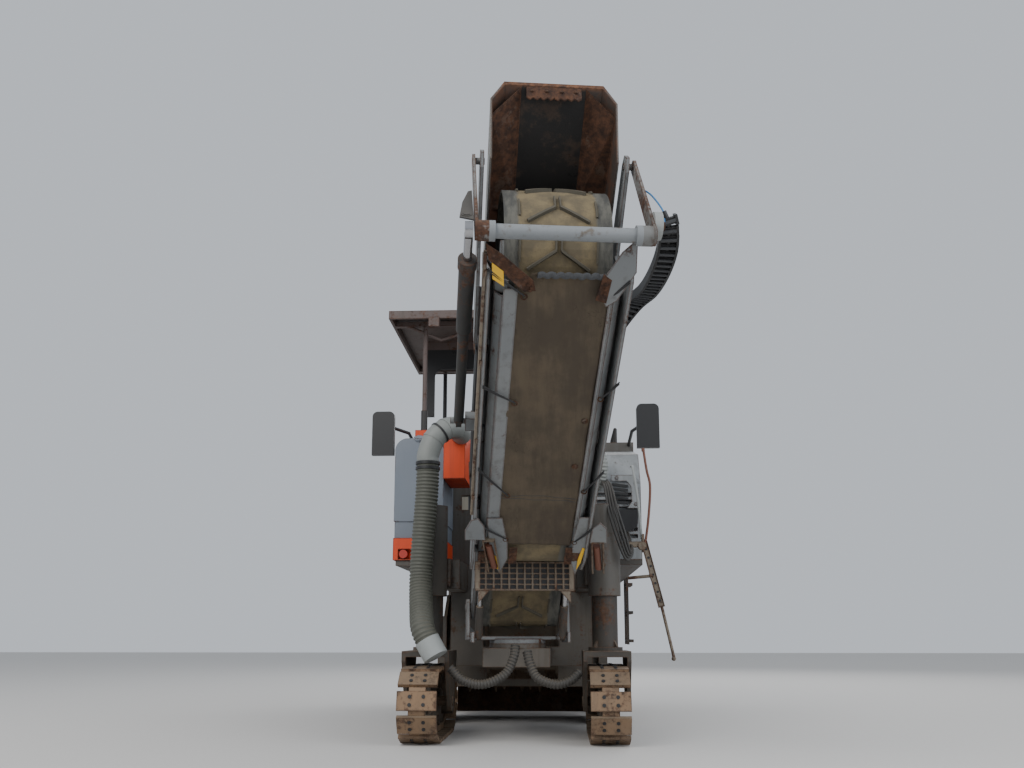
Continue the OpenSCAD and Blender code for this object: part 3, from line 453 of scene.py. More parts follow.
# %% Collector of small solids
class Pieces:
    """Collects small solids of one finish, then turns them into one object that rides on a body."""

    def __init__(self, name, finish, body, matrix=WORLD):
        self.name, self.finish, self.body, self.matrix = name, finish, body, matrix
        self.verts, self.faces, self.smooth = [], [], []

    def add(self, verts, faces, smooth=False):
        base = len(self.verts)
        self.verts += [Vector(v) for v in verts]
        self.faces += [[base + i for i in f] for f in faces]
        self.smooth += [smooth] * len(faces)

    def caps(self, first, last):
        self.add(first, [tuple(reversed(range(len(first))))])
        self.add(last, [tuple(range(len(last)))])

    def box(self, centre, size, turn=Matrix.Identity(3)):
        hx, hy, hz = (s / 2 for s in size)
        corners = [Vector((x, y, z)) for x in (-hx, hx) for y in (-hy, hy) for z in (-hz, hz)]
        self.add([turn @ p + Vector(centre) for p in corners],
                 [(0, 1, 3, 2), (4, 6, 7, 5), (0, 4, 5, 1), (2, 3, 7, 6), (0, 2, 6, 4), (1, 5, 7, 3)])

    def rod(self, a, b, r, sides=10, smooth=True):
        a, b = Vector(a), Vector(b)
        z = (b - a).normalized()
        x = z.orthogonal().normalized()
        y = z.cross(x)
        low, top = ([end + x * (r * c) + y * (r * s) for c, s in circle(sides)] for end in (a, b))
        self.add(low + top, bands(2, sides), smooth)
        self.caps(low, top)

    def bolts(self, places, normal, r, h):
        """Six-sided heads on washers."""
        n = Vector(normal).normalized()
        for place in places:
            at = Vector(place)
            self.rod(at - n * 0.002, at + n * 0.002, r * 1.5, 12, smooth=False)
            self.rod(at, at + n * h, r, 6, smooth=False)

    def tube(self, points, r, sides=12, radius_at=None, closed=False):
        """A swept round tube; radius_at(t) may vary its radius along the way."""
        pts = [Vector(p) for p in points]
        n = len(pts)
        rings = []
        for i, p in enumerate(pts):
            ahead, behind = (i + 1) % n if closed else min(i + 1, n - 1), i - 1 if closed else max(i - 1, 0)
            t = (pts[ahead] - pts[behind]).normalized()
            if i == 0:
                side = t.orthogonal().normalized()
            side = (side - t * side.dot(t)).normalized()
            other = t.cross(side)
            rr = radius_at(i / (n - 1)) if radius_at else r
            rings.append([p + side * (rr * c) + other * (rr * s) for c, s in circle(sides)])
        self.add([v for ring in rings for v in ring], bands(n, sides, closed), True)
        if not closed:
            self.caps(rings[0], rings[-1])

    def loft(self, outlines, smooth=False):
        """Skin over outlines with the same number of points."""
        self.add([v for o in outlines for v in o], bands(len(outlines), len(outlines[0])), smooth)
        self.caps(outlines[0], outlines[-1])

    def upright(self, outline, y0, y1):
        """A plate cut from an outline of (x, z) points, from y0 to y1."""
        self.loft([[Vector((x, y, z)) for x, z in outline] for y in (y0, y1)])

    def flat(self, outline, thick, z=None):
        """A plate through (x, y, z) points, or (x, y) points at one height; it is thick towards the belt."""
        low = [Vector(p) if z is None else Vector((*p, z)) for p in outline]
        self.loft([low, [p + Vector((0, 0, thick)) for p in low]])

    def build(self):
        obj = mesh_object(self.name, [self.matrix @ v for v in self.verts], self.faces, self.smooth,
                          self.finish)
        return obj

    def done(self):
        obj = self.build()
        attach(obj, self.body)
        print(self.name, "-", len(obj.data.polygons), "faces on", self.body)
        return obj

    def blend_to(self, other_body, start_at, end_at):
        """Builds the object and bakes it in place; it rides on no body, and its ends are not blended."""
        obj = self.build()
        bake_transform(obj)
        print(self.name, "-", len(obj.data.polygons), "faces between", self.body, "and", other_body)
        return obj


print("collector:", ", ".join(n for n in vars(Pieces) if not n.startswith("_")))

# %% Collectors in each working frame
def on_front(name, finish):
    return Pieces(name, finish, "conveyor_front", FRONT)


def on_lower(name, finish):
    return Pieces(name, finish, "conveyor_lower", LOWER)


def on_chassis(name, finish, matrix=WORLD):
    return Pieces(name, finish, "chassis", matrix)


print("collectors for the folded section, the rear section and the chassis are ready")

# %% [markdown]
# ## Coats that depend on the place
# Some solids wear a second coat in one region. The region could be a face selection, but the mesh belongs
# to the CAD and stays as it is, so the place is read from object coordinates in a working frame. The coat
# then travels with its body.

# %% Place masks and overlays
def local(tree, matrix, axis):
    """Distance along one axis of a working frame."""
    row = matrix.inverted()[axis]
    dot = tree.nodes.new("ShaderNodeVectorMath")
    dot.operation = "DOT_PRODUCT"
    dot.inputs[1].default_value = row[:3]
    tree.links.new(tree.nodes.new("ShaderNodeTexCoord").outputs["Object"], dot.inputs[0])
    return plus(tree, dot.outputs["Value"], row[3])


def off_middle(tree):
    """Distance to either side of the rear section's middle."""
    return math_node(tree, "ABSOLUTE", local(tree, LOWER, 0))


def overlay(mat, mask, colour):
    """Lays one more coat over what already colours the material."""
    tree = mat.node_tree
    socket = tree.nodes["Principled BSDF"].inputs["Base Color"]
    tree.links.new(mix_colour(tree, mask, socket.links[0].from_socket, colour), socket)


print("place masks are ready")

# %% [markdown]
# ### Tunnel
# The tunnel over the belt is grey outside. Inside, the roof is near-black painted shade, the sloping sides
# mix rust with darker painted shade, and the rim of the mouth is bare, bright rust.

# %% Coat of the tunnel
WALL_IN, ROOF_IN, LINING_IN = 0.340, 0.358, 0.176
CHAMFER_FALL, CHAMFER_SUM = 0.952, 0.6125
RIM_START, RIM_FULL = 3.555, 3.580


def coat_tunnel():
    mat = painted("tunnel paint", (0.165, 0.170, 0.160, 1), rust=0.26, dust=0.25, fade=0.3, streaks=0.4,
                  edge=1.2)
    t = mat.node_tree
    x, b = off_middle(t), local(t, LOWER, 2)
    up_belt = times(t, local(t, LOWER, 1), -1.0)
    patch = noise(t, 7.0, 7.0, 0.7)
    chamfer = plus(t, b, times(t, x, CHAMFER_FALL))
    inside = times(t, below(t, x, WALL_IN), below(t, b, ROOF_IN), below(t, chamfer, CHAMFER_SUM))
    # Painted shade: the roof inside is near-black, and the sloping sides mix rust with darker painted shade.
    roof_shade = mix_colour(t, ramp(t, patch, 0.50, 0.66), (0.010, 0.009, 0.009, 1), (0.042, 0.026, 0.018, 1))
    side = mix_colour(t, ramp(t, patch, 0.36, 0.58), (0.090, 0.038, 0.020, 1), (0.045, 0.034, 0.028, 1))
    overlay(mat, inside, mix_colour(t, math_node(t, "GREATER_THAN", x, LINING_IN), roof_shade, side))
    rim = ramp(t, plus(t, up_belt, times(t, patch, 0.08)), RIM_START, RIM_FULL)
    bright = ramp(t, noise(t, 40.0, 6.0, 0.7), 0.35, 0.65)
    overlay(mat, rim, mix_colour(t, bright, (0.060, 0.024, 0.012, 1), (0.17, 0.075, 0.035, 1)))
    return mat


dress("tunnel_cover", coat_tunnel())
print("tunnel coated inside", WALL_IN, "m from its middle")

# %% [markdown]
# ### Fold lever
# The two bars of the lever are rusty along their edges, and the cross tube between them is still clean
# grey. Lever and tube are one solid, so two materials would need a face selection. The distance from the
# middle tells tube from bar instead.

# %% Coat of the fold lever
TUBE_HALF = 0.372


def coat_lever():
    mat = painted("lever paint", (0.150, 0.152, 0.148, 1), rust=0.46, dust=0.3, fade=0.3, streaks=0.5,
                  edge=1.5)
    t = mat.node_tree
    stain = ramp(t, noise(t, 14.0, 6.0, 0.6), 0.56, 0.70)
    clean = mix_colour(t, stain, (0.205, 0.218, 0.228, 1), (0.130, 0.112, 0.092, 1))
    overlay(mat, below(t, off_middle(t), TUBE_HALF), clean)
    return mat


dress("fold_lever", coat_lever())
for node in ("tail_guard", "pointer_arm"):
    dress(node, finishes["tan_steel"])
print("lever coated; its tube is clean within", TUBE_HALF, "m of the middle")

# %% [markdown]
# ### Belt
# The carrying width of the belt is tan with road dust and dark specks. Towards its edges the dust ends and
# the worn, greyish rubber shows.

# %% Coat of the belts
MARGIN_START, MARGIN_FULL = 0.212, 0.232


def coat_belt():
    mat = plain("bent belt", (0.03, 0.028, 0.024, 1), roughness=0.85, dust=0.9, grain=0.5)
    t = mat.node_tree
    x = off_middle(t)
    patch = noise(t, 9.0, 7.0, 0.65)
    speck = noise(t, 120.0, 3.0, 0.6)
    tan = mix_colour(t, ramp(t, patch, 0.36, 0.62), (0.175, 0.137, 0.075, 1), (0.105, 0.085, 0.052, 1))
    tan = mix_colour(t, times(t, ramp(t, speck, 0.52, 0.72), 0.7), tan, (0.100, 0.078, 0.050, 1))
    overlay(mat, below(t, x, 0.5), tan)
    margin = ramp(t, plus(t, x, times(t, patch, 0.04)), MARGIN_START, MARGIN_FULL)
    smear = ramp(t, noise(t, 16.0, 6.0, 0.7, stretch=(1.0, 0.3, 0.3)), 0.38, 0.62)
    overlay(mat, margin, mix_colour(t, smear, (0.050, 0.050, 0.046, 1), (0.112, 0.108, 0.092, 1)))
    return mat


finishes["bent_belt"] = coat_belt()
for node in ("lower_belt", "front_belt"):
    dress(node, finishes["bent_belt"])
print("belts coated; margins from", MARGIN_START, "m")

# %% [markdown]
# ### Canopy and canvas
# The window frame under the canopy's roof is black, where the roof is a dull red-brown. The canvas is
# stained in long soft clouds, and thin dark lines of painted crease shade run over it: the borders of large
# warped cells, shown only in patches.

# %% Coats of the canopy and the canvas
WINDOW_FRONT, ROOF_UNDER = 0.6, 3.328


def coat_canopy():
    mat = finishes["canopy_paint"]
    t = mat.node_tree
    window = times(t, math_node(t, "GREATER_THAN", local(t, WORLD, 1), WINDOW_FRONT),
                   below(t, local(t, WORLD, 2), ROOF_UNDER))
    overlay(mat, window, (0.012, 0.012, 0.013, 1))


def coat_canvas():
    mat = finishes["canvas"]
    t = mat.node_tree
    cloud = noise(t, 22.0, 7.0, 0.7, stretch=(1.0, 0.16, 0.16))
    both = weighted(t, (noise(t, 3.4, 6.0, 0.62), 0.65), (cloud, 0.35))
    overlay(mat, 0.85, mix_colour(t, ramp(t, both, 0.40, 0.62), (0.060, 0.046, 0.032, 1),
                                  (0.104, 0.080, 0.051, 1)))
    cells = t.nodes.new("ShaderNodeTexVoronoi")
    cells.feature = "DISTANCE_TO_EDGE"
    cells.inputs["Scale"].default_value = 9.0
    warp = t.nodes.new("ShaderNodeVectorMath")
    warp.operation = "ADD"
    wander = t.nodes.new("ShaderNodeTexNoise")
    wander.inputs["Scale"].default_value = 6.0
    t.links.new(t.nodes.new("ShaderNodeTexCoord").outputs["Object"], warp.inputs[0])
    t.links.new(wander.outputs["Color"], warp.inputs[1])
    t.links.new(warp.outputs["Vector"], cells.inputs["Vector"])
    # Painted shade: thin dark lines stand for the shade in the canvas's creases.
    crease_shade = math_node(t, "SUBTRACT", 1.0, ramp(t, cells.outputs["Distance"], 0.004, 0.020))
    crease_shade = times(t, crease_shade, ramp(t, noise(t, 4.0, 3.0, 0.6), 0.56, 0.64), 0.75)
    overlay(mat, crease_shade, (0.020, 0.015, 0.012, 1))


coat_canopy()
coat_canvas()
print("canopy and canvas coated")

# %% [markdown]
# ## Crawler bolts
# Each steel shoe is held by four bolts in a square, and their heads read as dark dots from the front. The
# pin line of the chain is a straight run, a half circle, a run and a half circle, so the place of every
# shoe follows from its distance along that loop, and no shoe has to be placed by hand.

# %% Pin line of a crawler
PIN_R, RUN, SHOES, SHOE_T = 0.200, 0.830, 21, 0.026
ARC = math.pi * PIN_R
LOOP = 2 * (RUN + ARC)
AXLE_Z = PIN_R + 0.024 + SHOE_T
WHEELBASE = 2.85


def pin_point(s):
    """A point of the loop, as (y, z) off the crawler's middle, s metres from its lower rear corner."""
    s %= LOOP
    if s < RUN:
        return s - RUN / 2, -PIN_R
    if s < RUN + ARC:
        a = (s - RUN) / PIN_R
        return RUN / 2 + PIN_R * math.sin(a), -PIN_R * math.cos(a)
    if s < 2 * RUN + ARC:
        return RUN * 1.5 + ARC - s, PIN_R
    a = (s - 2 * RUN - ARC) / PIN_R
    return -RUN / 2 - PIN_R * math.sin(a), PIN_R * math.cos(a)


print("loop of", SHOES, "shoes is", round(LOOP, 3), "m long")

# %% Shoe bolts
CRAWLERS = {"fl": ("crawler_front_left", 0.628, 0.0), "fr": ("crawler_front_right", -0.628, 0.0),
            "rl": ("crawler_rear_left", 0.600, WHEELBASE), "rr": ("crawler_rear_right", -0.600, WHEELBASE)}
PHASE, BOLT_X, BOLT_Y, HEAD_LOW, HEAD_TOP, HEAD_R = 0.02, 0.045, 0.026, -0.0495, -0.0545, 0.0125
for key, (body, x, y) in CRAWLERS.items():
    bolts = Pieces("shoe_bolts_" + key, "black_plastic", body, PLACE @ Matrix.Translation((x, y, AXLE_Z)))
    for i in range(SHOES):
        a, b = (pin_point((i + k - PHASE) * LOOP / SHOES) for k in (0, 1))
        turn = math.atan2(b[1] - a[1], b[0] - a[0])
        if abs(turn) < 0.05:
            continue
        middle = Matrix.Translation((0, (a[0] + b[0]) / 2, (a[1] + b[1]) / 2))
        shoe = middle @ Matrix.Rotation(turn, 4, "X")
        for bx in (-BOLT_X, BOLT_X):
            for by in (-BOLT_Y, BOLT_Y):
                low, top = (shoe @ Vector((bx, by, z)) for z in (HEAD_LOW, HEAD_TOP))
                bolts.rod(low, top, HEAD_R, 8, smooth=False)
    bolts.done()

# %% [markdown]
# ## The dust canvas on the folded front section
# A dusty canvas closes the open face of the folded section's belt. It sags a little between its ropes, and
# its upper edge is torn. A cloth simulation would sag it too, but this piece is held all round, so a sum of
# long waves is enough and keeps the area of its flat cut.

# %% Canvas
CANVAS_X, CANVAS_W, CANVAS_L, CANVAS_TOP, CANVAS_Z = 0.018, 0.488, 1.980, -0.188, -0.4375
COLS, ROWS = 36, 110


def canvas_depth(u, v):
    """Sag towards the belt inside the frame, and puckers near the ropes."""
    edge = 1 - (2 * u - 1) ** 2
    belly = 0.010 * edge * (0.6 + 0.4 * math.sin(7 * v + 1))
    pucker = 0.003 * math.sin(38 * v) * (2 * u - 1) ** 4 + 0.002 * math.sin(23 * u + 9 * v)
    return belly + pucker


def canvas_point(i, j):
    u, v = i / COLS, j / ROWS
    torn = max(0.0, 0.018 * math.sin(19 * u) + 0.012 * math.sin(47 * u + 2)) if j == 0 else 0.0
    x = CANVAS_X + (u - 0.5) * CANVAS_W
    return FRONT @ Vector((x, CANVAS_TOP + v * CANVAS_L + torn, CANVAS_Z + canvas_depth(u, v)))


points = [canvas_point(i, j) for j in range(ROWS + 1) for i in range(COLS + 1)]
corners = [j * (COLS + 1) + i for j in range(ROWS) for i in range(COLS)]
faces = [(k, k + 1, k + COLS + 2, k + COLS + 1) for k in corners]
canvas = mesh_object("belt_canvas", points, faces, [True] * len(faces), "canvas")
canvas.modifiers.new("cloth thickness", "SOLIDIFY").thickness = 0.003
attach(canvas, "conveyor_front")
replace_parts(canvas, "belt_cover")
print("canvas of", CANVAS_W, "by", CANVAS_L, "m")

# %% [markdown]
# ### Roll, seam and lips
# At the top the canvas is rolled round a rod, which makes it thick and uneven. A double seam crosses it
# near the lower end, and bent steel lips hold its long edges. Roll and seam are tubes that follow the
# cloth.

# %% Roll, seam and lips
roll = on_front("canvas_roll", "roll_cloth")
roll.tube([(0.055 + k / 60 * 0.170, CANVAS_TOP + 0.004 + 0.004 * math.sin(k * 0.4),
            -0.4440 + 0.002 * math.sin(k * 0.3)) for k in range(-60, 61)], 0.015, 12,
          radius_at=lambda t: 0.015 + 0.0018 * math.sin(46 * t) * math.sin(17 * t))
roll.done()
SEAM_R, SEAM_STEPS = 0.0022, 40
seam = on_front("canvas_seam", "guard_rubber")
for v, phase in ((0.778, 0.0), (0.792, 3.6)):
    seam.tube([(CANVAS_X + (u - 0.5) * (CANVAS_W - 0.02),
                CANVAS_TOP + v * CANVAS_L + 0.02 * u + 0.004 * math.sin(9 * u + phase),
                CANVAS_Z + canvas_depth(u, v) - SEAM_R)
                for u in (k / SEAM_STEPS for k in range(SEAM_STEPS + 1))],
              SEAM_R, 6)
seam.done()
lip = on_front("canvas_lip", "grey_paint")
for x0, x1 in ((-0.282, -0.208), (0.262, 0.282)):
    lip.loft([[Vector((x, y, z)) for x, z in ((x0, -0.4495), (x1, -0.4440), (x1, -0.4415), (x0, -0.4465))]
              for y in (-0.10, 1.62)])
lip.done()

# %% [markdown]
# ## Guides at the lower end of the folded section
# On each side a grey hook plate carries a slotted guard with a red-brown roller in it, and the side panel
# ends in a pointed plate with a yellow tip. Flat plates are outlines with a thickness: a few corner points
# are enough.

# %% Hook plates and tips
TOWARDS_CAMERA = (0, 0, -1)
HOOK_Z, PANEL_Z, TIP_Z = -0.478, -0.456, -0.461
hooks = on_front("hook_plates", "grey_paint")
hooks.flat([(-0.417, 1.709), (-0.420, 1.627), (-0.385, 1.536), (-0.342, 1.518), (-0.300, 1.588),
            (-0.290, 1.706)],
           0.008, HOOK_Z)
hooks.flat([(0.374, 1.730), (0.374, 1.600), (0.418, 1.545), (0.465, 1.598), (0.483, 1.728)], 0.008, HOOK_Z)
hooks.flat([(-0.286, 1.535), (-0.190, 1.533), (-0.145, 1.760), (-0.136, 1.902), (-0.180, 2.045),
            (-0.248, 1.904)],
           0.006, PANEL_Z)
hooks.flat([(0.286, 1.522), (0.350, 1.520), (0.358, 1.798), (0.317, 2.060), (0.280, 1.944), (0.268, 1.705)],
           0.006, PANEL_Z)
hooks.done()
tips = on_front("yellow_tips", "yellow_plate")
tips.flat([(-0.232, 1.860), (-0.208, 1.880), (-0.186, 1.975), (-0.196, 2.000), (-0.220, 1.960)], 0.004, TIP_Z)
tips.flat([(0.336, 1.790), (0.352, 1.800), (0.340, 1.930), (0.318, 2.000), (0.318, 1.900)], 0.004, TIP_Z)
tips.done()

# %% [markdown]
# ### Guards and rollers
# The two guides are alike but for their lean, so one loop makes both. A roller is a loft of five slightly
# flat rings between the two cheeks of its guard.

# %% Slotted guards and rollers
GUIDE_Z, CHEEK_HALF, CHEEK_T = -0.455, 0.036, 0.005
guards = on_front("roller_guards", "tan_steel")
rollers = on_front("guide_rollers", "guide_roller")
for s, x, y0, y1, lean in ((-1, -0.268, 1.770, 1.975, 0.050), (1, 0.424, 1.775, 1.985, 0.040)):
    for dx in (-CHEEK_HALF, CHEEK_HALF):
        cheek = [(x + dx, y0 - 0.050, -0.480), (x + dx + lean, y1 + 0.030, -0.480),
                 (x + dx + lean, y1 + 0.030, -0.430), (x + dx, y0 - 0.050, -0.430)]
        guards.loft([[Vector(p) + Vector((w, 0, 0)) for p in cheek] for w in (-CHEEK_T, CHEEK_T)])
    guards.box((x, y0 - 0.052, GUIDE_Z), (0.082, 0.010, 0.050))
    rings = [[Vector((x + lean * t + 0.0234 * c, y0 + (y1 - y0) * t, GUIDE_Z + 0.024 * q))
              for c, q in circle(16)] for t in (0.0, 0.25, 0.5, 0.75, 1.0)]
    rollers.loft(rings, smooth=True)
    guards.bolts([(x + lean * t + s * 0.042, y0 + (y1 - y0) * t, GUIDE_Z) for t in (0.15, 0.85)],
                 (s, 0, 0), 0.009, 0.006)
guards.done()
rollers.done()

# %% [markdown]
# ### Brackets
# Small rusty plates with bolts close the lower end of the side plates and of the canvas frame. Boxes do for
# them, because only their front faces and bolt heads are seen.

# %% Brackets and their bolts
ends = on_front("front_section_brackets", "rusty_steel")
end_bolts = on_front("front_section_bolts", "worn_steel")
for x in (-0.290, 0.290):
    ends.box((x, 1.880, -0.452), (0.070, 0.075, 0.010))
    end_bolts.bolts([(x, 1.880 + dy, -0.457) for dy in (-0.025, 0.025)], TOWARDS_CAMERA, 0.010, 0.008)
ends.done()
end_bolts.done()
panel_ends = on_front("panel_end_plates", "rusty_steel")
for x in (-0.104, 0.256):
    panel_ends.box((x, 1.880, -0.449), (0.050, 0.150, 0.008))
    panel_ends.bolts([(x, 1.880 + dy, -0.453) for dy in (-0.05, 0.0, 0.05)], TOWARDS_CAMERA, 0.009, 0.007)
panel_ends.done()

# %% [markdown]
# ## The belt of the rear section
# One distance runs along the belt: up the underside, round the tail, along the top and round the bend.
# Every bar is drawn in (across, along) and then laid on that line, so the pattern turns with the belt. An
# image of bars would look flat at the bend, where they stand out against the sky.

# %% Belt line
TAIL_R, BEND_R, BEND_A, BEND_B, BELT_HALF, BELT_T = 0.130, 0.372, 2.731, 0.132, 0.280, 0.014
RISE = BEND_R - BEND_B - TAIL_R
SLOPE = math.atan2(RISE, BEND_A)
S_TAIL = 2.300
S_TOP = S_TAIL + math.pi * TAIL_R
TOP_RUN = math.hypot(BEND_A, RISE)
S_BEND = S_TOP + TOP_RUN
S_END = S_BEND + math.pi * BEND_R


def belt_point(s, x, h=0.0):
    """A point of the belt in the rear section's frame, h off its outer face."""
    if s < S_TAIL:
        a, b, na, nb = S_TAIL - s, -TAIL_R, 0.0, -1.0
    elif s < S_TOP:
        q = -math.pi / 2 - (s - S_TAIL) / TAIL_R
        na, nb = math.cos(q), math.sin(q)
        a, b = TAIL_R * na, TAIL_R * nb
    elif s < S_BEND:
        t = (s - S_TOP) / TOP_RUN
        a, b, na, nb = t * BEND_A, TAIL_R + t * RISE, -math.sin(SLOPE), math.cos(SLOPE)
    else:
        q = math.pi / 2 - (s - S_BEND) / BEND_R
        na, nb = math.cos(q), math.sin(q)
        a, b = BEND_A + BEND_R * na, -BEND_B + BEND_R * nb
    return Vector((x, -(a + na * h), b + nb * h))


section = ((-BELT_HALF, 0), (BELT_HALF, 0), (BELT_HALF, -BELT_T), (-BELT_HALF, -BELT_T))
stations = sorted({S_END * k / 150 for k in range(151)} | {S_TAIL, S_TOP, S_BEND})
belt = on_lower("belt_with_bars", "bent_belt")
belt.loft([[belt_point(s, x, h) for x, h in section] for s in stations])
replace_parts(belt.done(), "lower_belt")

# %% [markdown]
# ### Bars of the belt
# Each pattern is a roof shape with two short bars above its apex and a dash near each edge. A bar is a low
# ridge with sloping sides, cut into short steps so that it bends with the belt. The bars are coloured darker
# than the belt as painted shade along them.

# %% Bars
BAR_PITCH, FIRST_BAR, FOOT = 0.25, 0.06, -0.003
bars = on_lower("belt_bars", "belt_bar")


def bar(x0, s0, x1, s1, wide=0.020, high=0.018):
    """A raised bar from one (across, along) point to another."""
    steps = max(2, int(math.hypot(x1 - x0, s1 - s0) / 0.03))
    n = Vector((s0 - s1, x1 - x0)).normalized() * (wide / 2)
    rows = []
    for k in range(steps + 1):
        x, s = x0 + (x1 - x0) * k / steps, s0 + (s1 - s0) * k / steps
        rows.append([belt_point(s + n.y * e, x + n.x * e, h)
                     for e, h in ((-1, FOOT), (1, FOOT), (0.6, high), (-0.6, high))])
    bars.loft(rows)


for k in range(int((S_END - 0.20) / BAR_PITCH) + 1):
    s = FIRST_BAR + BAR_PITCH * k
    for side in (-1, 1):
        bar(side * 0.014, s + 0.090, side * 0.160, s + 0.185)
        bar(side * 0.014, s, side * 0.014, s + 0.090, 0.012)
        bar(side * 0.200, s + 0.030, side * 0.200, s + 0.150, 0.012, 0.010)
bars.done()

# %% [markdown]
# ## Lines for hoses and cables
# A hose is stiff, so it takes one smooth line through the few places where it is held. A Catmull-Rom curve
# passes through every given point, which a Bezier's handles wouldn't. Ribs need points at equal distances
# after that.

# %% Smooth lines
def curve_points(points, steps=10):
    """A smooth line through the points."""
    pts = [Vector(p) for p in points]
    pts = [pts[0] * 2 - pts[1]] + pts + [pts[-1] * 2 - pts[-2]]
    out = []
    for i in range(1, len(pts) - 2):
        p0, p1, p2, p3 = pts[i - 1:i + 3]
        for k in range(steps):
            t = k / steps
            out.append(0.5 * ((2 * p1) + (p2 - p0) * t + (2 * p0 - 5 * p1 + 4 * p2 - p3) * t * t +
                              (3 * p1 - p0 - 3 * p2 + p3) * t ** 3))
    out.append(pts[-2])
    return out


def even_points(line, step):
    """The same line again with points at equal distances."""
    out, left = [line[0]], step
    for a, b in zip(line, line[1:]):
        span = (b - a).length
        while span >= left:
            a = a + (b - a) * (left / span)
            span -= left
            out.append(a)
            left = step
        left -= span
    return out


def length_of(line):
    return sum((b - a).length for a, b in zip(line, line[1:]))


def ribbed(r, depth, ribs):
    """A radius that swings from rib to rib along a hose."""
    return lambda t: r + depth * math.sin(2 * math.pi * ribs * t)


print("line tools are ready")

# %% [markdown]
# ## Energy chain beside the fold
# The hoses of the fold run in a black plastic chain that leaves the conveyor's side in a free arc and ends
# at the fold lever. A link is two side plates and a body between them, turned to the tangent of the arc.

# %% Links of the energy chain
CHAIN_ROUTE = [(0.530, -1.910, 2.373), (0.640, -2.060, 2.520), (0.745, -2.220, 2.620), (0.812, -2.480, 2.608),
               (0.848, -2.760, 2.612), (0.868, -2.960, 2.660), (0.862, -3.060, 2.740), (0.838, -3.085, 2.800)]
CHAIN_FIXED, CHAIN_FREE = CHAIN_ROUTE[1], CHAIN_ROUTE[6]
LINK, STEEP = 0.042, 0.8
chain = Pieces("energy_chain", "black_plastic", "conveyor_lower")
chain_bars = Pieces("energy_chain_bars", "roll_cloth", "conveyor_lower")
route = curve_points(CHAIN_ROUTE, 40)
walked, last = 0.0, route[0]
for before, here in zip(route, route[1:]):
    walked += (here - before).length
    if walked < LINK:
        continue
    walked = 0.0
    t = (here - last).normalized()
    mid = (here + last) / 2
    last = here
    wide = t.cross(Vector((0, 0.35, 1) if abs(t.z) < STEEP else (0, 1, 0.2))).normalized()
    wide = wide if wide.x > 0 else -wide
    deep = t.cross(wide).normalized()
    turn = Matrix((wide, t, deep)).transposed()
    for s in (-0.046, 0.046):
        chain.box(mid + wide * s, (0.013, 0.052, 0.056), turn)
    chain.box(mid, (0.084, 0.036, 0.034), turn)
    for d in (-0.024, 0.024):
        chain_bars.box(mid + deep * d, (0.078, 0.015, 0.008), turn)
hoses = Pieces("chain_hoses", "black_plastic", "conveyor_lower")
hoses.tube(route[::4], 0.014, 8)
for group in (chain, chain_bars, hoses):
    group.blend_to("fold_lever", CHAIN_FIXED, CHAIN_FREE)
foot = on_lower("energy_chain_foot", "grey_paint")
foot.box((0.352, -1.985, 0.105), (0.036, 0.130, 0.070))
foot.done()

# %% [markdown]
# ## Hoses along the conveyor's flank
# Four hydraulic hoses run down the rear section's right side, held by three clips. They share one route,
# each a little above the last, and a small wave that differs from hose to hose keeps them from looking
# ruled.

# %% Flank hoses
FLANK = [(-0.336, 2.22, 0.100), (-0.352, 2.17, 0.100), (-0.3605, 2.05, 0.095), (-0.366, 1.80, 0.085),
         (-0.368, 1.35, 0.060), (-0.366, 1.10, 0.050), (-0.352, 0.98, 0.045), (-0.336, 0.93, 0.045)]
HOSE_GAP = 0.034
hoses = Pieces("flank_hoses", "black_plastic", "conveyor_lower")
for k in range(4):
    pts = [LOWER @ Vector((x - 0.004 * (k % 2), -a, b + HOSE_GAP * k - 0.02 + 0.006 * math.sin(3 * a + k)))
           for x, a, b in FLANK]
    hoses.tube(curve_points(pts, 8), 0.0105 if k == 3 else 0.0125, 8)
hoses.done()
clips = on_lower("flank_clips", "rusty_steel")
for a, b in ((2.06, 0.130), (1.55, 0.105), (1.16, 0.085)):
    clips.box((-0.384, -a, b), (0.006, 0.030, 0.150))
    clips.box((-0.360, -a, b + 0.072), (0.050, 0.030, 0.006))
clips.done()

# %% [markdown]
# ## Small pieces at the fold
# Seen from the front, a dark rubber flap hangs at the left end of the cross tube and a round flange with a
# rusty bolt closes its right end, with a thin blue cable beside it. Two pipes run down the left side plate.
# Each could be modelled by hand, but an outline, a rod or a tube through a few points says the same in one
# line.

# %% Flap, flange, cable and pipes
flap = Pieces("fold_flap", "guard_rubber", "fold_rod", LOWER)
flap.upright([(-0.446, -0.225), (-0.466, -0.240), (-0.498, -0.400), (-0.514, -0.590), (-0.446, -0.622)],
             -3.1515, -3.1435)
flap.bolts([(-0.480, -3.152, -0.560)], (0, -1, 0), 0.018, 0.005)
flap.done()
TUBE_Y, TUBE_Z = -3.118, -0.545
for name, finish, x0, x1, r, sides in (("fold_flange", "white_plastic", 0.4395, 0.480, 0.070, 26),
                                       ("fold_flange_bolt", "rusty_steel", 0.480, 0.498, 0.024, 12)):
    end = Pieces(name, finish, "fold_lever", LOWER)
    end.rod((x0, TUBE_Y, TUBE_Z), (x1, TUBE_Y, TUBE_Z), r, sides)
    end.done()
blue = Pieces("blue_cable", "blue_cable", "fold_lever", LOWER)
blue.tube(curve_points([(0.4395, -3.170, -0.160), (0.478, -3.165, -0.220), (0.508, -3.150, -0.330),
                        (0.518, -3.135, -0.430), (0.500, -3.110, -0.530)], 10), 0.0045, 8)
blue.done()
pipes = on_front("side_pipes", "tan_steel")
for z, y1 in ((-0.455, 1.500), (-0.425, 1.380)):
    pipes.tube([(-0.3825, y, z) for y in (-0.300, 0.400, y1)], 0.0095, 10)
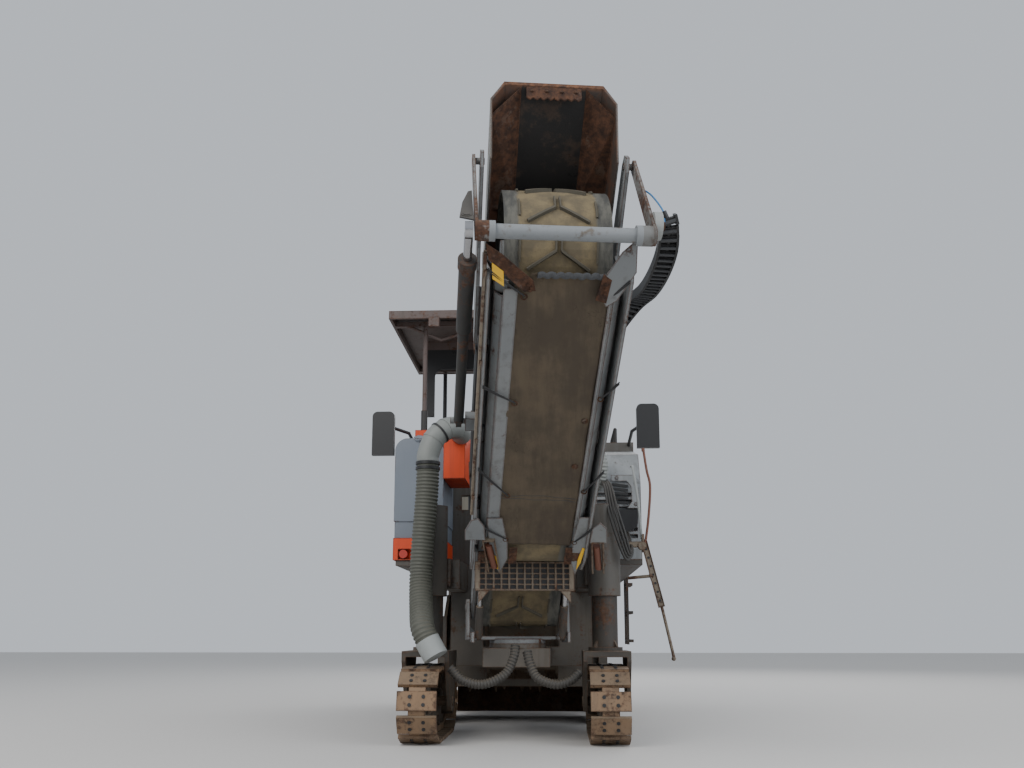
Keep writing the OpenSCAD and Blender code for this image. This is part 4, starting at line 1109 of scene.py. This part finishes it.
for y in (-0.20, 0.35, 0.90, 1.35):
    pipes.box((-0.378, y, -0.440), (0.012, 0.026, 0.066))
pipes.done()

# %% [markdown]
# ## Lining of the tunnel
# Two rusty plates slope from the side walls to the roof, and a toothed wear strip hangs inside the mouth.
# The teeth are a zigzag outline, set on the same slant as the mouth.

# %% Sloping plates and wear strip
ROOF_B, MOUTH_SLANT, PLATE_T = 0.3565, 0.98, 0.006
lining = on_lower("tunnel_lining", "rusty_steel")
for s in (-1, 1):
    lining.loft([[Vector((s * LINING_IN, -a0, 0.3560)), Vector((s * 0.339, -a1, b)),
                  Vector((s * 0.339, -a1, b - PLATE_T)), Vector((s * LINING_IN, -a0, 0.3560 - PLATE_T))]
                 for a0, a1, b in ((2.850, 2.850, 0.305), (3.528, 3.408, 0.236))])
teeth = [(-0.150 + 0.300 * k / 16, 0.300 if k % 2 else 0.309) for k in range(17)]
strip = [(-0.150, ROOF_B)] + teeth + [(0.150, ROOF_B)]
lining.loft([[Vector((x, -a - (b - ROOF_B) * MOUTH_SLANT, b)) for x, b in strip] for a in (3.529, 3.536)])
lining.bolts([(x, -3.515, 0.335) for x in (-0.12, -0.04, 0.04, 0.12)], (0, -1, 0), 0.008, 0.004)
lining.done()

# %% [markdown]
# ## Behind the tail guard
# Behind the guard the room is in deep shade, which a dark plate stands for, and two gussets stiffen its
# frame.

# %% Guard shade plate and gussets
# A dark plate of painted shade behind the guard's holes.
backing = Pieces("guard_shade_plate", "black_plastic", "conveyor_lower", GUARD)
backing.box((0, 0.0085, 0.0), (0.622, 0.003, 0.186))
backing.done()
gussets = Pieces("guard_gussets", "tan_steel", "conveyor_lower", GUARD)
for s in (-1, 1):
    gussets.upright([(s * 0.310, -0.094), (s * 0.235, -0.094), (s * 0.310, -0.178)], -0.004, 0.004)
gussets.box((0, -0.0085, -0.090), (0.664, 0.005, 0.012))
gussets.done()

# %% [markdown]
# ## Fittings at the machine's left front
# A perforated bar lies on the edge pointer. It is a channel: a web with two flanges, turned into its own
# frame between two end points. Its holes are dark discs of painted shade, since a bore of 18 mm isn't seen
# through from here.

# %% Pointer bar
bar_a, bar_b = Vector((0.918, -0.628, 1.375)), Vector((1.032, -0.640, 0.905))
bar_mid, bar_long = (bar_a + bar_b) / 2, (bar_b - bar_a).length
down = (bar_b - bar_a).normalized()
across = down.cross(Vector((0, 1, 0))).normalized()
out = across.cross(down).normalized()
bar_turn = Matrix((across, out, down)).transposed()
strap = on_chassis("pointer_bar", "tan_steel")
strap.box(bar_mid, (0.040, 0.008, bar_long), bar_turn)
for side in (-0.021, 0.021):
    strap.box(bar_mid + across * side, (0.005, 0.022, bar_long), bar_turn)
strap.rod((0.800, -0.600, 1.114), (0.975, -0.634, 1.128), 0.012, 10)
strap.rod((0.905, -0.600, 1.345), (0.905, -0.642, 1.345), 0.032, 16)
strap.done()
# Dark discs of painted shade where the bar's holes are.
holes = on_chassis("pointer_bar_hole_shade", "black_plastic")
for k in range(7):
    at = bar_a.lerp(bar_b, 0.12 + 0.13 * k)
    holes.rod(at - out * 0.0045, at - out * 0.0050, 0.009, 12, smooth=False)
holes.done()

# %% [markdown]
# ### Handle, tube and bracket
# A red-brown handle and a pale tube rise from the pointer's bracket, and a grey bracket with dark slats is
# bolted to the side hood. Its open C is one outline, which needs no boolean cut.

# %% Handle, tube, bracket and slats
HOOD_FRONT = -0.4440
handle = on_chassis("pointer_handle", "guide_roller")
handle.tube(curve_points([(0.930, -0.628, 2.050), (0.950, -0.628, 1.900), (0.972, -0.628, 1.776),
                          (0.955, -0.628, 1.550), (0.925, -0.628, 1.345)], 8), 0.0095, 10)
handle.rod((0.9285, -0.628, 2.040), (0.9275, -0.628, 2.062), 0.013, 10)
handle.done()
riser = on_chassis("hood_tube", "white_plastic")
riser.tube(curve_points([(0.850, -0.4425, 1.960), (0.862, -0.480, 1.930), (0.888, -0.540, 1.700),
                         (0.905, -0.590, 1.400)], 8), 0.010, 10)
riser.done()
bracket = on_chassis("hood_bracket", "pale_paint")
bracket.upright([(0.700, 1.892), (0.862, 1.892), (0.905, 1.850), (0.905, 1.640), (0.815, 1.640),
                 (0.850, 1.690), (0.850, 1.800), (0.815, 1.846), (0.700, 1.846)], -0.4600, HOOD_FRONT)
bracket.bolts([(0.740, -0.460, 1.869), (0.880, -0.460, 1.830), (0.880, -0.460, 1.670)],
              (0, -1, 0), 0.009, 0.007)
bracket.done()
slats = on_chassis("hood_slats", "black_plastic")
for k in range(5):
    slats.box((0.765, -0.452, 1.815 - 0.032 * k), (0.120, 0.014, 0.018), Matrix.Rotation(0.12, 4, "Y"))
slats.upright([(0.715, 1.630), (0.900, 1.630), (0.885, 1.500), (0.790, 1.440), (0.715, 1.500)],
              -0.470, HOOD_FRONT)
slats.done()

# %% [markdown]
# ### Hoses in front of the leg
# Four hoses leave the side hood, hang in front of the leg and turn back into it. One route serves all four;
# the offset o spreads them where they hang free. A short ribbed duct sits above them.

# %% Leg hoses and side duct
leg_hoses = on_chassis("leg_hoses", "guard_rubber")
for k in range(4):
    o = 0.017 * k
    leg_route = [(0.612 + o, HOOD_FRONT, 1.860), (0.642 + o, -0.600, 1.780),
                 (0.668 + o, -0.750 - 0.3 * o, 1.560 + o), (0.722 + o, -0.765 - 0.3 * o, 1.370 + o),
                 (0.778 + 0.6 * o, -0.755, 1.240 + o), (0.826, -0.700 + o, 1.285 + o),
                 (0.822 - 0.4 * o, -0.560, 1.400), (0.812 - o, HOOD_FRONT, 1.470)]
    leg_hoses.tube(curve_points(leg_route, 9), 0.0105 - 0.0015 * (k % 2), 8)
leg_hoses.done()
side_duct = on_chassis("side_duct", "pale_duct")
duct_route = [(0.610, HOOD_FRONT, 2.060), (0.618, -0.500, 2.050), (0.640, -0.530, 1.960),
              (0.625, -0.500, 1.850), (0.600, HOOD_FRONT, 1.800)]
side_duct.tube(even_points(curve_points(duct_route, 12), 0.004), 0.036, 16,
               radius_at=ribbed(0.034, 0.003, 15))
side_duct.done()

# %% [markdown]
# ## Suction duct
# The thick hose at the machine's right front is the most rounded form of the whole front. Its ribs are the
# tube's own radius, which swings along its length, so they are real in the mesh and catch the light.

# %% Ribbed hose of the suction duct
DUCT_R, RIB_PITCH, RIB_STEP = 0.080, 0.026, 0.0045
HOSE = [(-0.634, -0.220, 1.930), (-0.640, -0.220, 1.700), (-0.664, -0.226, 1.300), (-0.668, -0.240, 1.080),
        (-0.652, -0.320, 0.890), (-0.628, -0.415, 0.760), (-0.585, -0.446, 0.665)]
hose_line = curve_points(HOSE, 36)
duct = on_chassis("duct_hose", "duct_rubber", PLACE)
duct.tube(even_points(hose_line, RIB_STEP), DUCT_R, 22,
          radius_at=ribbed(DUCT_R, 0.0038, length_of(hose_line) / RIB_PITCH))
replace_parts(duct.done(), "suction_duct")

# %% [markdown]
# ### Elbow, clamps and collar
# A smooth pale elbow of four segments leaves the orange box, two black clamps join it to the ribbed hose,
# and a pale collar ends the hose at the bottom. Each band is a short cylinder on the tangent of the elbow's
# line.

# %% Elbow, clamps and collar
ELBOW = [(-0.430, 0.1397, 2.215), (-0.448, -0.070, 2.215), (-0.512, -0.172, 2.190), (-0.592, -0.212, 2.110),
         (-0.634, -0.220, 1.990), (-0.634, -0.220, 1.930)]
elbow_line = curve_points(ELBOW, 12)


def ring_at(group, i, half, r):
    """A ring of the elbow at the i-th point of its line."""
    t = (elbow_line[i + 1] - elbow_line[i - 1]).normalized()
    group.rod(elbow_line[i] - t * half, elbow_line[i] + t * half, r, 26)


elbow = on_chassis("duct_elbow", "pale_duct", PLACE)
elbow.tube(elbow_line, DUCT_R, 26)
for i in (13, 25, 37):
    ring_at(elbow, i, 0.006, 0.0835)
elbow.done()
clamps = on_chassis("duct_clamps", "black_plastic", PLACE)
for z in (1.925, 1.888):
    clamps.rod((-0.635, -0.220, z - 0.010), (-0.635, -0.220, z + 0.010), 0.0885, 26)
ring_at(clamps, 30, 0.007, 0.086)
clamps.done()
collar = on_chassis("duct_collar", "white_plastic", PLACE)
collar.rod((-0.592, -0.443, 0.676), (-0.528, -0.460, 0.566), 0.0865, 26)
collar.done()

# %% [markdown]
# ## Arms and ropes of the canvas
# Two flat arms hold the canvas frame below the cross tube. Seen from the front, the left one is bare rust
# and the right one still grey with a rusty end plate. A blank yellow plate sits beside the left arm. The
# arms are bent strips, so their outlines carry a height at each corner, which saves a bend modifier.

# %% Arms and blank plate
left = on_front("canvas_arm_left", "rusty_steel")
left.flat([(-0.385, -0.355, -0.455), (-0.366, -0.275, -0.470), (-0.180, -0.098, -0.468),
           (-0.120, -0.104, -0.466), (-0.136, -0.160, -0.466), (-0.300, -0.300, -0.460)], 0.010)
left.bolts([(-0.145, -0.125, -0.467), (-0.160, -0.140, -0.467), (-0.150, -0.108, -0.467)],
           TOWARDS_CAMERA, 0.008, 0.008)
right = on_front("canvas_arm_right", "grey_paint")
right.flat([(0.358, -0.405, -0.455), (0.376, -0.230, -0.470), (0.300, -0.060, -0.468),
            (0.248, -0.020, -0.468), (0.215, -0.080, -0.466), (0.225, -0.200, -0.466),
            (0.290, -0.330, -0.460)], 0.010)
end = on_front("canvas_arm_end", "rusty_steel")
end.flat([(0.214, -0.210, -0.4685), (0.258, -0.180, -0.4685), (0.246, -0.045, -0.4705),
          (0.190, -0.060, -0.4685)], 0.012)
end.bolts([(0.232, y, -0.4685) for y in (-0.155, -0.128, -0.100)], TOWARDS_CAMERA, 0.008, 0.008)
plate = on_front("blank_yellow_plate", "yellow_plate")
plate.flat([(-0.350, -0.262), (-0.290, -0.215), (-0.283, -0.130), (-0.343, -0.172)], 0.003, -0.474)
for group in (left, right, end, plate):
    group.done()

# %% [markdown]
# ### Elastic ropes
# Doubled elastic ropes run from the side plates to steel rings in the canvas. Under tension they are
# straight, so three points each are enough. Two round patches have no rope.

# %% Ropes and rings
PLATE_FACE, CLOTH_FACE, RING_Z, RING_R = -0.472, -0.458, -0.4535, 0.015
ROPES = [((-0.366, -0.227), (-0.175, -0.069)), ((-0.360, 0.499), (-0.176, 0.622)),
         ((-0.358, 1.105), (-0.172, 1.335)), ((-0.356, 1.555), (-0.160, 1.715)),
         ((0.350, -0.183), (0.250, -0.060)), ((0.385, 0.455), (0.300, 0.580)),
         ((0.385, 1.112), (0.290, 1.293)), ((0.380, 1.594), (0.280, 1.739))]
ropes = on_front("canvas_ropes", "black_plastic")
eyes = on_front("canvas_eyes", "worn_steel")
for (x0, y0), (x1, y1) in ROPES:
    a, b = Vector((x0, y0, PLATE_FACE)), Vector((x1, y1, CLOTH_FACE))
    for off in (0.0, 0.013):
        ropes.tube([a + Vector((0, off, 0)), a.lerp(b, 0.5) + Vector((0, off * 0.6, -0.004)), b], 0.0045, 8)
    ring = [(x1 + RING_R * c, y1 + 0.010 + RING_R * s, RING_Z) for c, s in circle(16)]
    eyes.tube(ring, 0.0042, 6, closed=True)
ropes.done()
for x, y in ((0.232, 0.757), (0.214, 1.107)):
    eyes.rod((x, y, -0.4400), (x, y, -0.4460), 0.019, 14)
eyes.done()

# %% [markdown]
# ## Hoses to the front crawlers
# On each side a bundle in a spiral guard hangs from the frame in a loop and climbs to the crawler's leg.
# The turns of the guard are ribs of the tube, which look like a spiral at this size and cost less.

# %% Spiral guarded hoses
def guarded_hose(name, crawler, route, r=0.030, turn_pitch=0.021):
    line = even_points(curve_points(route, 26), 0.0035)
    hose = on_chassis(name, "guard_rubber")
    hose.tube(line, r, 14, radius_at=ribbed(r, 0.0035, length_of(line) / turn_pitch))
    hose.blend_to(crawler, route[0], route[-1])


guarded_hose("hose_loop_right", "crawler_front_right",
             [(0.000, -0.960, 0.640), (-0.010, -0.990, 0.560), (-0.070, -1.010, 0.450),
              (-0.212, -1.020, 0.385), (-0.350, -1.010, 0.410), (-0.440, -0.990, 0.490)])
guarded_hose("hose_loop_left", "crawler_front_left",
             [(0.080, -0.960, 0.600), (0.100, -0.990, 0.520), (0.150, -1.010, 0.430),
              (0.270, -1.020, 0.385), (0.370, -1.010, 0.410), (0.440, -0.990, 0.470)])

# %% [markdown]
# ## Seats
# Each seat is a cushion and a back of black vinyl on its pedestal. They are padded pieces with wide rounded
# edges. The pedestals take the place of the plain solids of the CAD.

# %% Cushions and backs
FLOOR, SEAT_X = 1.650, 0.48


def pad(name, centre, size, lean=0.0):
    bpy.ops.mesh.primitive_cube_add(size=1)
    obj = bpy.context.object
    obj.name = name
    obj.data.transform(Matrix.Diagonal((*size, 1.0)))
    obj.data.transform(PLACE @ Matrix.Translation(centre) @ Matrix.Rotation(math.radians(lean), 4, "X"))
    soft = obj.modifiers.new("rounded", "BEVEL")
    soft.width = 0.034
    soft.segments = 4
    for p in obj.data.polygons:
        p.use_smooth = True
    obj.data.materials.append(finishes["seat_vinyl"])
    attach(obj, "chassis")
    print(name, "at", tuple(centre))


stand = on_chassis("seat_pedestals", "black_plastic", PLACE)
for side, x in (("left", SEAT_X), ("right", -SEAT_X)):
    stand.rod((x, 1.9, FLOOR), (x, 1.9, FLOOR + 0.355), 0.060, 24)
    stand.box((x, 1.91, FLOOR + 0.010), (0.300, 0.300, 0.020))
    stand.box((x, 2.085, FLOOR + 0.400), (0.060, 0.070, 0.130))
    pad("seat_cushion_" + side, (x, 1.890, FLOOR + 0.411), (0.458, 0.458, 0.110))
    pad("seat_back_" + side, (x, 2.202, FLOOR + 0.650), (0.438, 0.088, 0.478), -12)
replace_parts(stand.done(), "seat")

# %% [markdown]
# ## Floor, light and camera
# The machine stands on a plain pale floor under soft studio light: a warm key, a cool fill and one from
# behind. Wide area lights are used, since a small lamp would draw hard shadows that an overcast yard
# doesn't have.

# %% Floor and lights
def stage_floor():
    bpy.ops.mesh.primitive_plane_add(size=60, location=(0, 0, -0.002))
    floor = bpy.context.object
    floor.name = "floor"
    mat, tree, bsdf = new_material("pale floor")
    grain = noise(tree, 40.0, 6.0, 0.7)
    tree.links.new(mix_colour(tree, grain, (0.52, 0.50, 0.48, 1), (0.62, 0.61, 0.59, 1)),
                   bsdf.inputs["Base Color"])
    bsdf.inputs["Roughness"].default_value = 0.9
    floor.data.materials.append(mat)
    return floor


def area_light(name, place, size, power, colour=(1, 1, 1), aim=(0, 0, 1.5)):
    data = bpy.data.lights.new(name, "AREA")
    data.size = size
    data.energy = power
    data.color = colour
    lamp = bpy.data.objects.new(name, data)
    scene.collection.objects.link(lamp)
    lamp.location = place
    lamp.rotation_euler = (Vector(aim) - Vector(place)).to_track_quat("-Z", "Y").to_euler()
    return lamp


lights = [area_light("key", (-5, -9, 9), 7, 900, (1.0, 0.98, 0.95)),
          area_light("fill", (8, -7, 5), 8, 500, (0.94, 0.97, 1.0)),
          area_light("back", (3, 9, 8), 7, 500)]
stage_floor()
sky = bpy.data.worlds.new("soft sky")
scene.world = sky
sky.use_nodes = True
sky.node_tree.nodes["Background"].inputs["Color"].default_value = (0.80, 0.85, 0.92, 1)
sky.node_tree.nodes["Background"].inputs["Strength"].default_value = 0.75
print("lights:", len(lights))

# %% [markdown]
# ### Camera
# The camera stands where the photographer stood: low, a little to the machine's left, about seven metres
# from the front crawlers. Part of the upward look is a lens shift, because the upright lines stay upright.

# %% Camera
PITCH_UP, YAW_LEFT = 10.45, 2.73
lens = bpy.data.cameras.new("camera")
lens.sensor_width = 36.0
lens.lens = 33.89
lens.shift_y = 0.07
camera = bpy.data.objects.new("camera", lens)
scene.collection.objects.link(camera)
camera.location = (0.296, -7.641, 0.7205)
camera.rotation_euler = (math.radians(90 + PITCH_UP), 0, math.radians(YAW_LEFT))
scene.camera = camera
print("camera:", tuple(round(x, 3) for x in camera.location))
